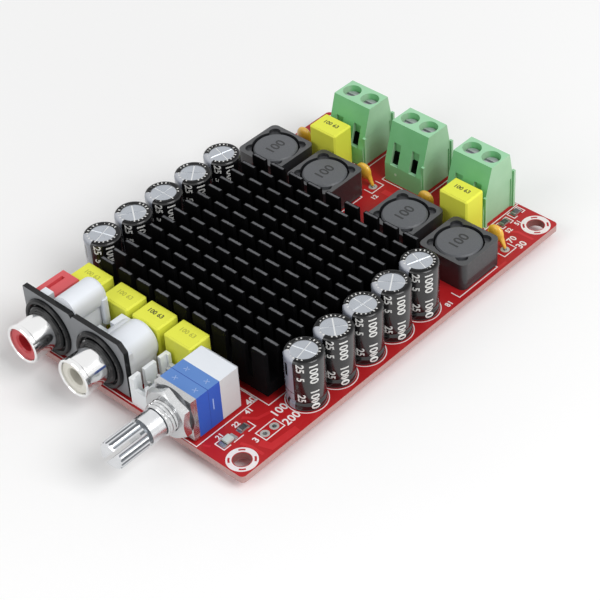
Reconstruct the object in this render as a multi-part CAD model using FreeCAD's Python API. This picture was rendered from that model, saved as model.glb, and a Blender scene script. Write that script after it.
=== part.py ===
import FreeCAD, Part
import math
import os

# Stereo audio amplifier board: a small printed board that carries a pin-fin heatsink over its
# amplifier chip, a row of storage capacitors on each side of it, output inductors, screw
# terminals along the back edge, and the audio inputs and the volume control along the front.
#
# Frame: millimetres, +Z up. The origin is the centre of the four mounting holes, on the
# underside of the board. The front edge, with the control's shaft, faces -Y.

os.makedirs("parts", exist_ok=True)
V = FreeCAD.Vector

# Heatsink: a cast base with a field of separate blade fins
fin_columns = 9
fin_rows = 14
fin_length = 3.60
fin_thickness = 0.85
fin_height = 7.50
fin_side_gap = 1.604
fin_row_gap = 2.515
heatsink_base = 3.00
heatsink_screw_inset = 3.40

# Board
board_thickness = 1.60
board_corner_radius = 1.00
mount_hole_radius = 1.80
mount_hole_inset = 3.40
left_margin = 10.30
right_margin = 9.45
front_margin = 16.95
rear_margin = 33.90

# Amplifier chip and the pad that joins it to the heatsink
chip_length = 11.00
chip_width = 6.10
chip_body_height = 1.00
chip_standoff = 0.10
chip_lead_count = 16
chip_lead_pitch = 0.65
chip_lead_width = 0.25
chip_lead_reach = 1.00
chip_lead_root = 0.20
chip_lead_knee = 0.45
chip_lead_thickness = 0.15
pad_thickness = 1.10
pad_margin = 1.50

# Heatsink screws and spacers
screw_radius = 1.45
screw_head_radius = 2.70
screw_head_height = 1.90
screw_head_bevel = 0.60
screw_depth = 2.40
spacer_radius = 2.90
screw_clearance = 0.10

# Wire leads and solder joints
lead_radius = 0.30
lead_sides = 8
lead_hole_clearance = 0.12
lead_tip = 1.80
solder_radius = 0.85
solder_height = 0.80
pin_tip = 2.00
pin_hole_clearance = 0.15

# How far a cutting tool reaches past the face it opens
overshoot = 1.00

# Electrolytic capacitors
can_diameter = 8.00
can_height = 12.60
can_rim = 0.70
can_recess = 0.25
can_groove_height = 1.90
can_groove_depth = 0.30
can_groove_width = 0.90
can_lead_pitch = 3.50
can_count = 5
right_can_gap = 0.34
left_can_gap = 0.61
right_can_offset = 0.19
left_can_offset = 1.63
right_can_start = 2.24
left_can_start = 1.77

# Box film capacitors
film_length = 7.40
film_depth = 5.60
film_height = 10.20
film_edge = 0.35
film_lead_pitch = 5.00
film_front_gap = 0.25
film_front_places = (-21.95, -12.40, -3.70, 5.15)
film_rear_places = (-18.85, 17.60)
film_rear_gap = 0.85

# Disc ceramic capacitors
disc_diameter = 4.00
disc_thickness = 2.00
disc_flat_radius = 1.35
disc_rim_thickness = 0.80
disc_lift = 1.15
disc_lead_pitch = 5.00
disc_leg_root_spread = 1.10
disc_leg_root_radius = 0.80
disc_leg_tip_radius = 0.45
disc_leg_gap = 0.30
disc_places = ((-27.60, 13.35), (-8.60, 14.95), (8.10, 14.05), (26.60, 13.75))

# Shielded power inductors
inductor_size = 12.00
inductor_height = 6.50
inductor_corner = 1.40
inductor_floor = 1.00
inductor_core_radius = 4.85
inductor_core_gap = 0.45
inductor_core_sink = 0.10
inductor_core_bevel = 0.30
inductor_core_foot = 1.00
inductor_core_rim = 1.20
inductor_waist_radius = 4.00
inductor_pocket_depth = 0.80
inductor_pocket_radius = 1.30
inductor_gap = 4.25
inductor_places = (-26.40, -12.00, 10.40, 24.90)

# Two-pole rising-cage screw terminals
terminal_places = (-17.32, -0.77, 16.08)
pole_pitch = 5.08
terminal_side_wall = 1.15
terminal_depth = 10.60
terminal_height = 14.10
terminal_edge_inset = 0.55
terminal_top_depth = 5.97
terminal_top_front = 2.75
terminal_shoulder = 4.60
terminal_side_recess = 0.25
terminal_recess_top = 7.50
terminal_rib = 0.60
terminal_rib_reach = 0.45
terminal_rib_tops = (7.60, 9.40)
well_radius = 2.05
screw_sink = 1.30
terminal_head_radius = 1.85
terminal_head_height = 1.70
terminal_shank_radius = 1.05
terminal_slot_width = 0.60
terminal_slot_depth = 0.70
terminal_head_bevel = 0.25
terminal_tip_bevel = 0.30
cage_wall = 0.40
cage_top_wall = 1.20
cage_bottom_wall = 0.80
cage_depth = 4.20
cage_opening = 2.50
cage_travel = 2.00
cage_lift = 0.70
cage_play = 0.20
thread_clearance = 0.08
contact_bar = 0.80
contact_play = 0.30
wire_entry_height = 2.90
wire_entry_width = 3.30
window_width = 2.00
window_top = 9.75
window_recess = 1.95
window_open_top = 7.30
terminal_pin_size = 1.00

# Volume control
control_offset = 14.55
control_width = 9.60
control_bottom = 0.40
control_top = 10.30
shaft_height = 6.00
control_edge_inset = 0.85
plate_thickness = 1.50
wafer_thickness = 3.05
cover_length = 5.70
cover_corner = 0.90
bushing_radius = 3.50
bushing_length = 4.50
bushing_bevel = 0.40
shaft_radius = 3.00
shaft_shoulder = 0.20
shaft_shoulder_gap = 0.30
shaft_play = 0.05
shaft_collar_radius = 3.70
shaft_collar_width = 0.80
collar_play = 0.30
shaft_length = 11.80
neck_radius = 2.45
neck_length = 0.80
knurl_length = 7.30
knurl_teeth = 18
knurl_depth = 0.28
shaft_slit_width = 0.80
shaft_slit_depth = 6.20
shaft_slit_turn = 40.00
tip_chamfer = 0.50
nut_width = 10.00
nut_thickness = 1.80
nut_bevel = 0.60
washer_radius = 5.30
washer_thickness = 0.60
thread_play = 0.05
control_pin_pitch = 2.50
control_pin_size = 0.80

# Double phono socket
jack_places = (-20.90, -6.00)
jack_height = 6.05
jack_plate_left = 6.50
jack_plate_right = 7.30
jack_plate_bottom = 0.40
jack_plate_top = 13.10
jack_plate_thickness = 1.20
jack_plate_inset = 1.15
jack_plate_corner = 1.60
jack_notch_width = 1.20
jack_notch_depth = 0.80
sleeve_radius = 4.05
sleeve_wall = 0.45
sleeve_length = 7.20
sleeve_lip_radius = 4.25
sleeve_lip_length = 1.20
sleeve_lip_bevel = 0.20
collar_inner_ring = 0.85
collar_groove = 0.30
collar_outer_ring = 1.15
collar_inner_reach = 1.10
collar_outer_reach = 0.75
collar_bevel = 0.30
insert_sink = 0.60
insert_bore_radius = 1.90
insert_bevel = 0.35
insert_play = 0.05
centre_contact_wall = 0.20
centre_contact_sink = 2.60
barrel_radius = 3.90
barrel_length = 8.50
barrel_fillet = 1.20
high_barrel_radius = 3.20
high_barrel_side = 4.50
high_barrel_up = 5.75
high_barrel_web = 4.60
low_barrel_radius = 4.30
low_barrel_side = 2.40
low_barrel_up = 0.80
low_barrel_web = 8.20
flange_depth = 1.60
flange_left = 5.40
flange_right = 6.60
flange_height = 9.60
facet_width = 2.60
facet_depth = 3.20
facet_height = 9.00
peg_radius = 0.80
peg_side = 2.90
peg_bottom = 5.60
tab_width = 2.40
tab_depth = 1.80
tab_height = 1.90
tab_inset = 3.10
tab_drop = 0.50
jack_foot_depth = 7.20
jack_foot_height = 3.20
jack_foot_bottom = 0.30
coded_left = 5.60
coded_right = 1.00
coded_length = 8.40
coded_height = 11.30
coded_groove_width = 0.90
coded_groove_depth = 0.80
coded_groove_inset = 1.20
coded_groove_start = 2.40
coded_groove_length = 4.60
lug_width = 3.40
lug_length = 5.40
lug_height = 6.30
jack_pin_size = 0.80
jack_pin_front_inset = 1.60
jack_pin_back_inset = 1.20

# Three-pin input header
header_offset = 5.45
header_width = 5.70
header_length = 9.90
header_height = 6.90
header_wall = 0.80
header_floor = 1.60
header_edge_inset = 0.55
header_pin_pitch = 2.50
header_pin_size = 0.64
header_pin_height = 5.60
header_slot_width = 1.10
header_slot_spacing = 4.10
header_post = 1.30
header_end_height = 4.30

# Small surface-mounted pieces
chip_resistor = (1.25, 2.00, 0.50)
led_size = (1.60, 3.20, 0.80)
led_base_height = 0.32
led_lens_length = 1.90
led_place = (23.70, 5.15)
front_resistor_place = (23.60, 9.35)
rear_part_places = ((23.30, 2.65), (23.60, 6.95))


# Sizes that follow from the ones above

fin_pitch_x = fin_length + fin_side_gap
fin_pitch_y = fin_thickness + fin_row_gap
heatsink_width = (fin_columns - 1) * fin_pitch_x + fin_length
heatsink_length = (fin_rows - 1) * fin_pitch_y + fin_thickness
board_width = left_margin + heatsink_width + right_margin
board_length = front_margin + heatsink_length + rear_margin
board_left = -board_width / 2
board_right = board_width / 2
board_front = -board_length / 2
board_back = board_length / 2
board_top = board_thickness
heatsink_left = board_left + left_margin
heatsink_right = board_right - right_margin
heatsink_front = board_front + front_margin
heatsink_back = board_back - rear_margin
heatsink_middle_x = (heatsink_left + heatsink_right) / 2
heatsink_middle_y = (heatsink_front + heatsink_back) / 2
chip_top = board_top + chip_standoff + chip_body_height
heatsink_bottom = chip_top + pad_thickness
heatsink_base_top = heatsink_bottom + heatsink_base


def box(x0, x1, y0, y1, z0, z1):
    """A box between two opposite corners."""
    return Part.makeBox(x1 - x0, y1 - y0, z1 - z0, V(x0, y0, z0))


def centred_box(x, y, z0, size_x, size_y, height):
    """A box centred on x and y that stands on z0."""
    return Part.makeBox(size_x, size_y, height, V(x - size_x / 2, y - size_y / 2, z0))


def upright(radius, x, y, z0, z1):
    """A cylinder along Z."""
    return Part.makeCylinder(radius, z1 - z0, V(x, y, z0), V(0, 0, 1))


def along_y(radius, x, z, y0, y1):
    """A cylinder along Y."""
    return Part.makeCylinder(radius, y1 - y0, V(x, y0, z), V(0, 1, 0))


def extrude(points, direction):
    """A flat outline, swept straight."""
    outline = Part.makePolygon(points + [points[0]])
    return Part.Face(outline).extrude(direction)


def ring_points(radius, sides, x, y, z):
    """The corners of a level polygon round a point."""
    points = []
    for index in range(sides):
        angle = 2 * math.pi * index / sides
        points.append(V(x + radius * math.cos(angle), y + radius * math.sin(angle), z))
    return points


def turned_up(profile, x, y):
    """A profile of (radius, height) points, turned about a vertical axis."""
    points = [V(x + radius, y, height) for radius, height in profile]
    outline = Part.makePolygon(points + [points[0]])
    return Part.Face(outline).revolve(V(x, y, 0), V(0, 0, 1), 360)


def turned_front(profile, x, z):
    """A profile of (radius, depth) points, turned about an axis along Y."""
    points = [V(x + radius, depth, z) for radius, depth in profile]
    outline = Part.makePolygon(points + [points[0]])
    return Part.Face(outline).revolve(V(x, 0, z), V(0, 1, 0), 360)


def fuse(shapes):
    """Several overlapping solids made one."""
    whole = shapes[0].fuse(shapes[1:])
    return whole.removeSplitter()


def group(shapes):
    """Separate solids kept side by side in one node."""
    return Part.Compound(shapes)


def upright_edges(shape):
    """The straight edges of a solid that run along Z."""
    edges = []
    for edge in shape.Edges:
        if len(edge.Vertexes) != 2:
            continue
        run = edge.Vertexes[1].Point - edge.Vertexes[0].Point
        if abs(run.x) < 1e-6 and abs(run.y) < 1e-6:
            edges.append(edge)
    return edges


def edges_at_height(shape, height):
    """The edges of a solid that lie in one level plane."""
    level = []
    for edge in shape.Edges:
        bounds = edge.BoundBox
        if abs(bounds.ZMin - height) < 1e-4 and abs(bounds.ZMax - height) < 1e-4:
            level.append(edge)
    return level


def edges_at_depth(shape, depth):
    """The edges of a solid that lie in one plane across Y."""
    return [edge for edge in shape.Edges if abs(edge.BoundBox.YMin - depth) < 1e-4]


def save(name, shape):
    """Write one node."""
    shape.exportStep("parts/" + name + ".step")


# Places of the leads and pins that pass through the board

def can_positions():
    """Centres of the capacitor cans, right row first and front to back."""
    can_radius = can_diameter / 2
    right_x = heatsink_right + right_can_offset + can_radius
    left_x = heatsink_left - left_can_offset - can_radius
    places = []
    for index in range(can_count):
        y = heatsink_front + right_can_start + can_radius
        places.append((right_x, y + index * (can_diameter + right_can_gap)))
    for index in range(can_count):
        y = heatsink_front + left_can_start + can_radius
        places.append((left_x, y + index * (can_diameter + left_can_gap)))
    return places


def film_positions():
    """Centres of the film capacitors: the front row, then the two at the back."""
    front_y = heatsink_front - film_front_gap - film_depth / 2
    back_y = inductor_y + inductor_size / 2 + film_rear_gap + film_depth / 2
    places = [(x, front_y) for x in film_front_places]
    places += [(x, back_y) for x in film_rear_places]
    return places


def disc_positions():
    """Centres of the disc capacitors, placed from the back edge."""
    return [(x, board_back - inset) for x, inset in disc_places]


def lead_pairs():
    """Every wire lead as (x, y, top height)."""
    leads = []
    for x, y in can_positions():
        for side in (-1, 1):
            leads.append((x, y + side * can_lead_pitch / 2, board_top))
    for x, y in film_positions():
        for side in (-1, 1):
            leads.append((x + side * film_lead_pitch / 2, y, board_top))
    for x, y in disc_positions():
        for side in (-1, 1):
            leads.append((x + side * disc_lead_pitch / 2, y, board_top + disc_leg_gap))
    return leads


terminal_back = board_back - terminal_edge_inset
terminal_front = terminal_back - terminal_depth
terminal_middle = terminal_front + terminal_top_front + terminal_top_depth / 2


def pole_positions():
    """Centres of the six terminal poles."""
    places = []
    for block_x in terminal_places:
        for side in (-1, 1):
            places.append(block_x + side * pole_pitch / 2)
    return places


plate_front = board_front + control_edge_inset
wafer_front = plate_front + plate_thickness
wafer_joint = wafer_front + wafer_thickness
cover_front = wafer_joint + wafer_thickness
cover_back = cover_front + cover_length
shaft_z = board_top + shaft_height


def control_pin_positions():
    """Three pins under each wafer of the volume control."""
    places = []
    for y in (wafer_front + wafer_thickness / 2, wafer_joint + wafer_thickness / 2):
        for step in (-1, 0, 1):
            places.append((control_offset + step * control_pin_pitch, y))
    return places


jack_plate_front = board_front + jack_plate_inset
jack_plate_back = jack_plate_front + jack_plate_thickness
jack_back = jack_plate_back + barrel_length
jack_z = board_top + jack_height


def jack_pin_positions():
    """A signal pin and a shield pin under each phono socket."""
    places = []
    for x in jack_places:
        places.append((x, jack_back - jack_pin_back_inset))
        places.append((x, jack_plate_back + jack_pin_front_inset))
    return places


header_middle_y = board_front + header_edge_inset + header_length / 2


def header_pin_positions():
    """The header's three pins, front to back."""
    return [(header_offset, header_middle_y + step * header_pin_pitch) for step in (-1, 0, 1)]


def heatsink_screw_positions():
    """Two screws, at opposite corners of the heatsink."""
    inset = heatsink_screw_inset
    return [(heatsink_left + inset, heatsink_front + inset),
            (heatsink_right - inset, heatsink_back - inset)]


# Board

def circuit_board():
    """The bare board with its mounting, screw, lead and pin holes."""
    plate = box(board_left, board_right, board_front, board_back, 0, board_thickness)
    plate = plate.makeFillet(board_corner_radius, upright_edges(plate))
    cuts = []
    for x in (board_left + mount_hole_inset, board_right - mount_hole_inset):
        for y in (board_front + mount_hole_inset, board_back - mount_hole_inset):
            cuts.append(upright(mount_hole_radius, x, y, -overshoot, board_thickness + overshoot))
    for x, y in heatsink_screw_positions():
        cuts.append(upright(screw_radius + screw_clearance, x, y,
                            -overshoot, board_thickness + overshoot))
    for x, y, top in lead_pairs():
        cuts.append(upright(lead_radius + lead_hole_clearance, x, y,
                            -overshoot, board_thickness + overshoot))
    pins = [(x, y, control_pin_size) for x, y in control_pin_positions()]
    pins += [(x, y, jack_pin_size) for x, y in jack_pin_positions()]
    pins += [(x, y, header_pin_size) for x, y in header_pin_positions()]
    pins += [(x, terminal_middle, terminal_pin_size) for x in pole_positions()]
    for x, y, size in pins:
        radius = size / math.sqrt(2) + pin_hole_clearance
        cuts.append(upright(radius, x, y, -overshoot, board_thickness + overshoot))
    return plate.cut(cuts)


# Heatsink, chip and pad

def heatsink():
    """A cast base with blade fins in rows and columns and two blind screw holes."""
    base = box(heatsink_left, heatsink_right, heatsink_front, heatsink_back,
               heatsink_bottom, heatsink_base_top)
    fins = []
    for column in range(fin_columns):
        for row in range(fin_rows):
            x = heatsink_left + column * fin_pitch_x
            y = heatsink_front + row * fin_pitch_y
            fins.append(box(x, x + fin_length, y, y + fin_thickness,
                            heatsink_bottom, heatsink_base_top + fin_height))
    body = base.fuse(fins)
    holes = []
    for x, y in heatsink_screw_positions():
        holes.append(upright(screw_radius + screw_clearance, x, y,
                             heatsink_bottom - overshoot, heatsink_bottom + screw_depth))
    return body.cut(holes).removeSplitter()


def heatsink_screw(x, y):
    """A pan-head screw, put in from under the board."""
    tip = heatsink_bottom + screw_depth - screw_clearance
    profile = [(0, -screw_head_height),
               (screw_head_radius - screw_head_bevel, -screw_head_height),
               (screw_head_radius, screw_head_bevel - screw_head_height), (screw_head_radius, 0),
               (screw_radius, 0), (screw_radius, tip), (0, tip)]
    return turned_up(profile, x, y)


def heatsink_spacer(x, y):
    """A plain tube between the board and the heatsink."""
    inner = screw_radius + screw_clearance
    profile = [(inner, board_top), (spacer_radius, board_top),
               (spacer_radius, heatsink_bottom), (inner, heatsink_bottom)]
    return turned_up(profile, x, y)


def amplifier_chip():
    """A flat package with a row of formed leads along each long side."""
    bottom = board_top + chip_standoff
    body = centred_box(heatsink_middle_x, heatsink_middle_y, bottom,
                       chip_length, chip_width, chip_body_height)
    pieces = [body]
    shoulder = bottom + chip_body_height / 2
    first = heatsink_middle_x - (chip_lead_count - 1) * chip_lead_pitch / 2
    for side in (-1, 1):
        edge = heatsink_middle_y + side * chip_width / 2
        root = edge - side * chip_lead_root
        knee = edge + side * chip_lead_knee
        toe = edge + side * chip_lead_reach
        thick = chip_lead_thickness
        outline = [(root, shoulder), (knee + side * thick, shoulder),
                   (knee + side * thick, board_top + thick), (toe, board_top + thick),
                   (toe, board_top), (knee, board_top), (knee, shoulder - thick),
                   (root, shoulder - thick)]
        for index in range(chip_lead_count):
            x = first + index * chip_lead_pitch - chip_lead_width / 2
            points = [V(x, y, z) for y, z in outline]
            pieces.append(extrude(points, V(chip_lead_width, 0, 0)))
    return fuse(pieces)


def thermal_pad():
    """The soft pad between the chip and the heatsink."""
    return centred_box(heatsink_middle_x, heatsink_middle_y, chip_top,
                       chip_length + 2 * pad_margin, chip_width + 2 * pad_margin, pad_thickness)


# Capacitors, leads and inductors

def electrolytic_capacitor(x, y):
    """A sleeved can: crimp groove near the foot, rolled rim and sunk top."""
    radius = can_diameter / 2
    top = board_top + can_height
    groove = board_top + can_groove_height
    half = can_groove_width / 2
    profile = [(0, board_top), (radius - can_recess, board_top), (radius, board_top + can_recess),
               (radius, groove - half), (radius - can_groove_depth, groove),
               (radius, groove + half), (radius, top - can_recess),
               (radius - can_recess, top), (radius - can_rim, top),
               (radius - can_rim, top - can_recess), (0, top - can_recess)]
    return turned_up(profile, x, y)


def film_capacitor(x, y):
    """A moulded box with eased edges."""
    body = centred_box(x, y, board_top, film_length, film_depth, film_height)
    eased = upright_edges(body) + edges_at_height(body, board_top + film_height)
    return body.makeChamfer(film_edge, eased)


def ceramic_capacitor(x, y):
    """A dipped disc on edge, thin at the rim, whose coating runs down both leads."""
    radius = disc_diameter / 2
    centre = board_top + disc_lift + radius
    half = disc_thickness / 2
    rim = disc_rim_thickness / 2
    profile = [(0, y - half), (disc_flat_radius, y - half), (radius, y - rim),
               (radius, y + rim), (disc_flat_radius, y + half), (0, y + half)]
    pieces = [turned_front(profile, x, centre)]
    for side in (-1, 1):
        tip = V(x + side * disc_lead_pitch / 2, y, board_top)
        run = V(x + side * disc_leg_root_spread, y, centre) - tip
        pieces.append(Part.makeCone(disc_leg_tip_radius, disc_leg_root_radius, run.Length,
                                    tip, run))
    below = centred_box(x, y, 0, 2 * disc_lead_pitch, disc_diameter, board_top + disc_leg_gap)
    return fuse(pieces).cut(below)


def component_lead(x, y, top):
    """A wire through the board and its solder cone underneath."""
    wire = extrude(ring_points(lead_radius, lead_sides, x, y, -lead_tip),
                   V(0, 0, top + lead_tip))
    outlines = []
    for radius, height in ((lead_radius, -solder_height), (solder_radius, 0)):
        points = ring_points(radius, lead_sides, x, y, height)
        outlines.append(Part.makePolygon(points + [points[0]]))
    cone = Part.makeLoft(outlines, True, True)
    return fuse([wire, cone])


inductor_y = heatsink_back + inductor_gap + inductor_size / 2
core_hole_radius = inductor_core_radius + inductor_core_gap


def inductor_shield(x):
    """A square ferrite shield with round corners, a bore and four glue pockets."""
    top = board_top + inductor_height
    block = centred_box(x, inductor_y, board_top, inductor_size, inductor_size, inductor_height)
    block = block.makeFillet(inductor_corner, upright_edges(block))
    cuts = [upright(core_hole_radius, x, inductor_y, board_top + inductor_floor,
                    top + overshoot)]
    reach = core_hole_radius / math.sqrt(2)
    for side_x in (-1, 1):
        for side_y in (-1, 1):
            cuts.append(upright(inductor_pocket_radius, x + side_x * reach,
                                inductor_y + side_y * reach,
                                top - inductor_pocket_depth, top + overshoot))
    return block.cut(cuts)


def inductor_core(x):
    """The wound drum: a wide foot, a waist and a round top."""
    radius = inductor_core_radius
    waist = inductor_waist_radius
    top = board_top + inductor_height - inductor_core_sink
    foot = board_top + inductor_floor
    foot_top = foot + inductor_core_foot
    rim = top - inductor_core_rim
    profile = [(0, foot), (radius, foot), (radius, foot_top), (waist, foot_top), (waist, rim),
               (radius, rim), (radius, top - inductor_core_bevel),
               (radius - inductor_core_bevel, top), (0, top)]
    return turned_up(profile, x, inductor_y)


# Screw terminals

block_width = 2 * pole_pitch
chamber_width = pole_pitch - terminal_side_wall
cage_width = chamber_width - 2 * cage_play
cage_x_half = cage_width / 2
terminal_top = board_top + terminal_height
cage_bottom = board_top + cage_lift
bar_bottom = cage_bottom + cage_bottom_wall + cage_opening
bar_top = bar_bottom + contact_bar
cage_ceiling = bar_top + contact_play
cage_top = cage_ceiling + cage_top_wall
chamber_bottom = cage_bottom - cage_play
chamber_top = cage_top + cage_travel + cage_play
cage_front = terminal_middle - cage_depth / 2
cage_back = terminal_middle + cage_depth / 2
screw_top = terminal_top - screw_sink
screw_head_bottom = screw_top - terminal_head_height
screw_tip = bar_top + cage_play / 2


def terminal_profile():
    """The side outline of a block, front to back: upright foot, sloping shoulders, flat top."""
    shoulder = board_top + terminal_shoulder
    top_front = terminal_front + terminal_top_front
    top_back = top_front + terminal_top_depth
    return [(terminal_front, board_top), (terminal_back, board_top), (terminal_back, shoulder),
            (top_back, terminal_top), (top_front, terminal_top), (terminal_front, shoulder)]


def terminal_housing(block_x):
    """A two-pole moulding with wells, chambers, wire entries, windows and dovetail ribs."""
    left = block_x - block_width / 2
    right = block_x + block_width / 2
    points = [V(left, y, z) for y, z in terminal_profile()]
    body = extrude(points, V(block_width, 0, 0))
    shoulder = board_top + terminal_shoulder
    cuts = []
    for edge, side in ((left, -1), (right, 1)):
        inner = edge - side * terminal_side_recess
        low, high = sorted((inner, edge + side * overshoot))
        cuts.append(box(low, high, terminal_front + 2 * terminal_rib,
                        terminal_back - 2 * terminal_rib,
                        board_top - overshoot, board_top + terminal_recess_top))
    for side in (-1, 1):
        x = block_x + side * pole_pitch / 2
        cuts.append(upright(well_radius, x, terminal_middle, screw_head_bottom - cage_play,
                            terminal_top + overshoot))
        cuts.append(upright(terminal_shank_radius + cage_play, x, terminal_middle,
                            chamber_top - overshoot, screw_head_bottom))
        cuts.append(box(x - chamber_width / 2, x + chamber_width / 2,
                        cage_front - cage_play, cage_back + cage_play,
                        chamber_bottom, chamber_top))
        entry_bottom = cage_bottom + cage_bottom_wall - cage_play
        cuts.append(box(x - wire_entry_width / 2, x + wire_entry_width / 2,
                        terminal_middle, terminal_back + overshoot,
                        entry_bottom, entry_bottom + wire_entry_height))
        half = window_width / 2
        window_front = terminal_front - overshoot
        cuts.append(box(x - half, x + half, window_front, cage_front,
                        shoulder, board_top + window_open_top))
        cuts.append(box(x - half, x + half, window_front, terminal_front + window_recess,
                        shoulder, board_top + window_top))
        cuts.append(centred_box(x, terminal_middle, board_top - overshoot,
                                terminal_pin_size + 2 * cage_play,
                                terminal_pin_size + 2 * cage_play, chamber_bottom))
    body = body.cut(cuts)
    ribs = []
    rib_places = (terminal_front + terminal_rib, terminal_back - terminal_rib)
    for y, height in zip(rib_places, terminal_rib_tops):
        ribs.append(box(right - terminal_side_recess, right + terminal_rib_reach,
                        y - terminal_rib / 2, y + terminal_rib / 2,
                        board_top, board_top + height))
    return fuse([body] + ribs)


def terminal_screw(x):
    """A slotted clamping screw: head in the well, plain shank down to the contact bar."""
    shank = terminal_shank_radius
    head = terminal_head_radius
    profile = [(0, screw_tip), (shank - terminal_tip_bevel, screw_tip),
               (shank, screw_tip + terminal_tip_bevel), (shank, screw_head_bottom),
               (head, screw_head_bottom), (head, screw_top - terminal_head_bevel),
               (head - terminal_head_bevel, screw_top), (0, screw_top)]
    body = turned_up(profile, x, terminal_middle)
    slot = centred_box(x, terminal_middle, screw_top - terminal_slot_depth,
                       2 * (head + overshoot), terminal_slot_width,
                       terminal_slot_depth + overshoot)
    return body.cut(slot)


def terminal_cage(x):
    """A box clamp, open along the wire, with the tapped wall at its top."""
    outer = box(x - cage_x_half, x + cage_x_half, cage_front, cage_back, cage_bottom, cage_top)
    inner_half = cage_x_half - cage_wall
    opening = box(x - inner_half, x + inner_half, cage_front - overshoot, cage_back + overshoot,
                  cage_bottom + cage_bottom_wall, cage_ceiling)
    tapped = upright(terminal_shank_radius + thread_clearance, x, terminal_middle,
                     cage_ceiling - overshoot, cage_top + overshoot)
    slot = centred_box(x, terminal_middle, cage_bottom - overshoot,
                       terminal_pin_size + 2 * cage_play,
                       terminal_pin_size + 2 * cage_play, cage_bottom_wall + 2 * overshoot)
    return outer.cut([opening, tapped, slot])


def terminal_contact(x):
    """The fixed bar inside a cage and the solder pin under it."""
    half = cage_x_half - cage_wall - cage_play
    bar = box(x - half, x + half, cage_front - cage_play, cage_back + cage_play,
              bar_bottom, bar_top)
    pin = centred_box(x, terminal_middle, -pin_tip, terminal_pin_size, terminal_pin_size,
                      bar_top + pin_tip)
    return fuse([bar, pin])


# Volume control

def control_block(front, back):
    """A slice of the control's body between two depths."""
    half = control_width / 2
    return box(control_offset - half, control_offset + half, front, back,
               board_top + control_bottom, board_top + control_top)


journal_radius = shaft_radius - shaft_shoulder
bushing_bore = journal_radius + shaft_play


def control_front_plate():
    """The metal plate at the front, bored for the shaft."""
    plate = control_block(plate_front, wafer_front)
    hole = along_y(bushing_bore, control_offset, shaft_z,
                   plate_front - overshoot, wafer_front + overshoot)
    return plate.cut(hole)


def control_wafer(front, back):
    """A resistor wafer with a round opening for the shaft."""
    wafer = control_block(front, back)
    hole = along_y(shaft_collar_radius + collar_play, control_offset, shaft_z,
                   front - overshoot, back + overshoot)
    return wafer.cut(hole)


def control_rear_cover():
    """The white back cover, closed behind the shaft."""
    cover = control_block(cover_front, cover_back)
    return cover.makeChamfer(cover_corner, edges_at_depth(cover, cover_back))


bushing_tip = plate_front - bushing_length
shaft_tip = bushing_tip - shaft_length


def control_bushing():
    """The bush that carries the nut, fixed to the plate."""
    profile = [(bushing_bore, bushing_tip), (bushing_radius - bushing_bevel, bushing_tip),
               (bushing_radius, bushing_tip + bushing_bevel), (bushing_radius, plate_front),
               (bushing_bore, plate_front)]
    return turned_front(profile, control_offset, shaft_z)


def control_shaft():
    """A shaft with a slimmer journal, an inner collar, a neck and a split, knurled tip."""
    collar_front = wafer_front + collar_play
    collar_back = collar_front + shaft_collar_width
    knurl_start = shaft_tip + knurl_length
    neck_end = knurl_start + neck_length
    shoulder = bushing_tip - shaft_shoulder_gap
    profile = [(0, knurl_start), (neck_radius, knurl_start), (neck_radius, neck_end),
               (shaft_radius, neck_end), (shaft_radius, shoulder),
               (journal_radius, shoulder), (journal_radius, collar_front),
               (shaft_collar_radius, collar_front), (shaft_collar_radius, collar_back),
               (neck_radius, collar_back), (neck_radius, cover_front - collar_play),
               (0, cover_front - collar_play)]
    body = turned_front(profile, control_offset, shaft_z)
    points = []
    for index in range(2 * knurl_teeth):
        radius = shaft_radius if index % 2 == 0 else shaft_radius - knurl_depth
        angle = math.pi * index / knurl_teeth
        points.append(V(control_offset + radius * math.cos(angle), shaft_tip,
                        shaft_z + radius * math.sin(angle)))
    knurl = extrude(points, V(0, knurl_length, 0))
    nose = turned_front([(0, shaft_tip), (shaft_radius - tip_chamfer, shaft_tip),
                         (shaft_radius + overshoot, shaft_tip + tip_chamfer + overshoot),
                         (shaft_radius + overshoot, knurl_start + overshoot),
                         (0, knurl_start + overshoot)], control_offset, shaft_z)
    knurl = knurl.common(nose)
    slit = box(control_offset - shaft_slit_width / 2, control_offset + shaft_slit_width / 2,
               shaft_tip - overshoot, shaft_tip + shaft_slit_depth,
               shaft_z - shaft_radius - overshoot, shaft_z + shaft_radius + overshoot)
    slit.rotate(V(control_offset, 0, shaft_z), V(0, 1, 0), shaft_slit_turn)
    return body.fuse(knurl).cut(slit)


def control_washer():
    """A flat washer between the plate and the nut."""
    inner = bushing_radius + thread_play
    front = plate_front - washer_thickness
    profile = [(inner, front), (washer_radius, front),
               (washer_radius, plate_front), (inner, plate_front)]
    return turned_front(profile, control_offset, shaft_z)


def control_nut():
    """A thin hexagon nut with chamfered corners."""
    back = plate_front - washer_thickness
    front = back - nut_thickness
    corner = nut_width / math.sqrt(3)
    points = []
    for index in range(6):
        angle = math.pi / 3 * index + math.pi / 6
        points.append(V(control_offset + corner * math.cos(angle), front,
                        shaft_z + corner * math.sin(angle)))
    hexagon = extrude(points, V(0, nut_thickness, 0))
    eased = turned_front([(0, front), (nut_width / 2, front), (corner, front + nut_bevel),
                          (corner, back), (0, back)], control_offset, shaft_z)
    hole = along_y(bushing_radius + thread_play, control_offset, shaft_z,
                   front - overshoot, back + overshoot)
    return hexagon.common(eased).cut(hole)


def board_pin(x, y, size, top):
    """A square pin from a component down through the board."""
    return centred_box(x, y, -pin_tip, size, size, top + pin_tip)


# Phono sockets

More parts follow.
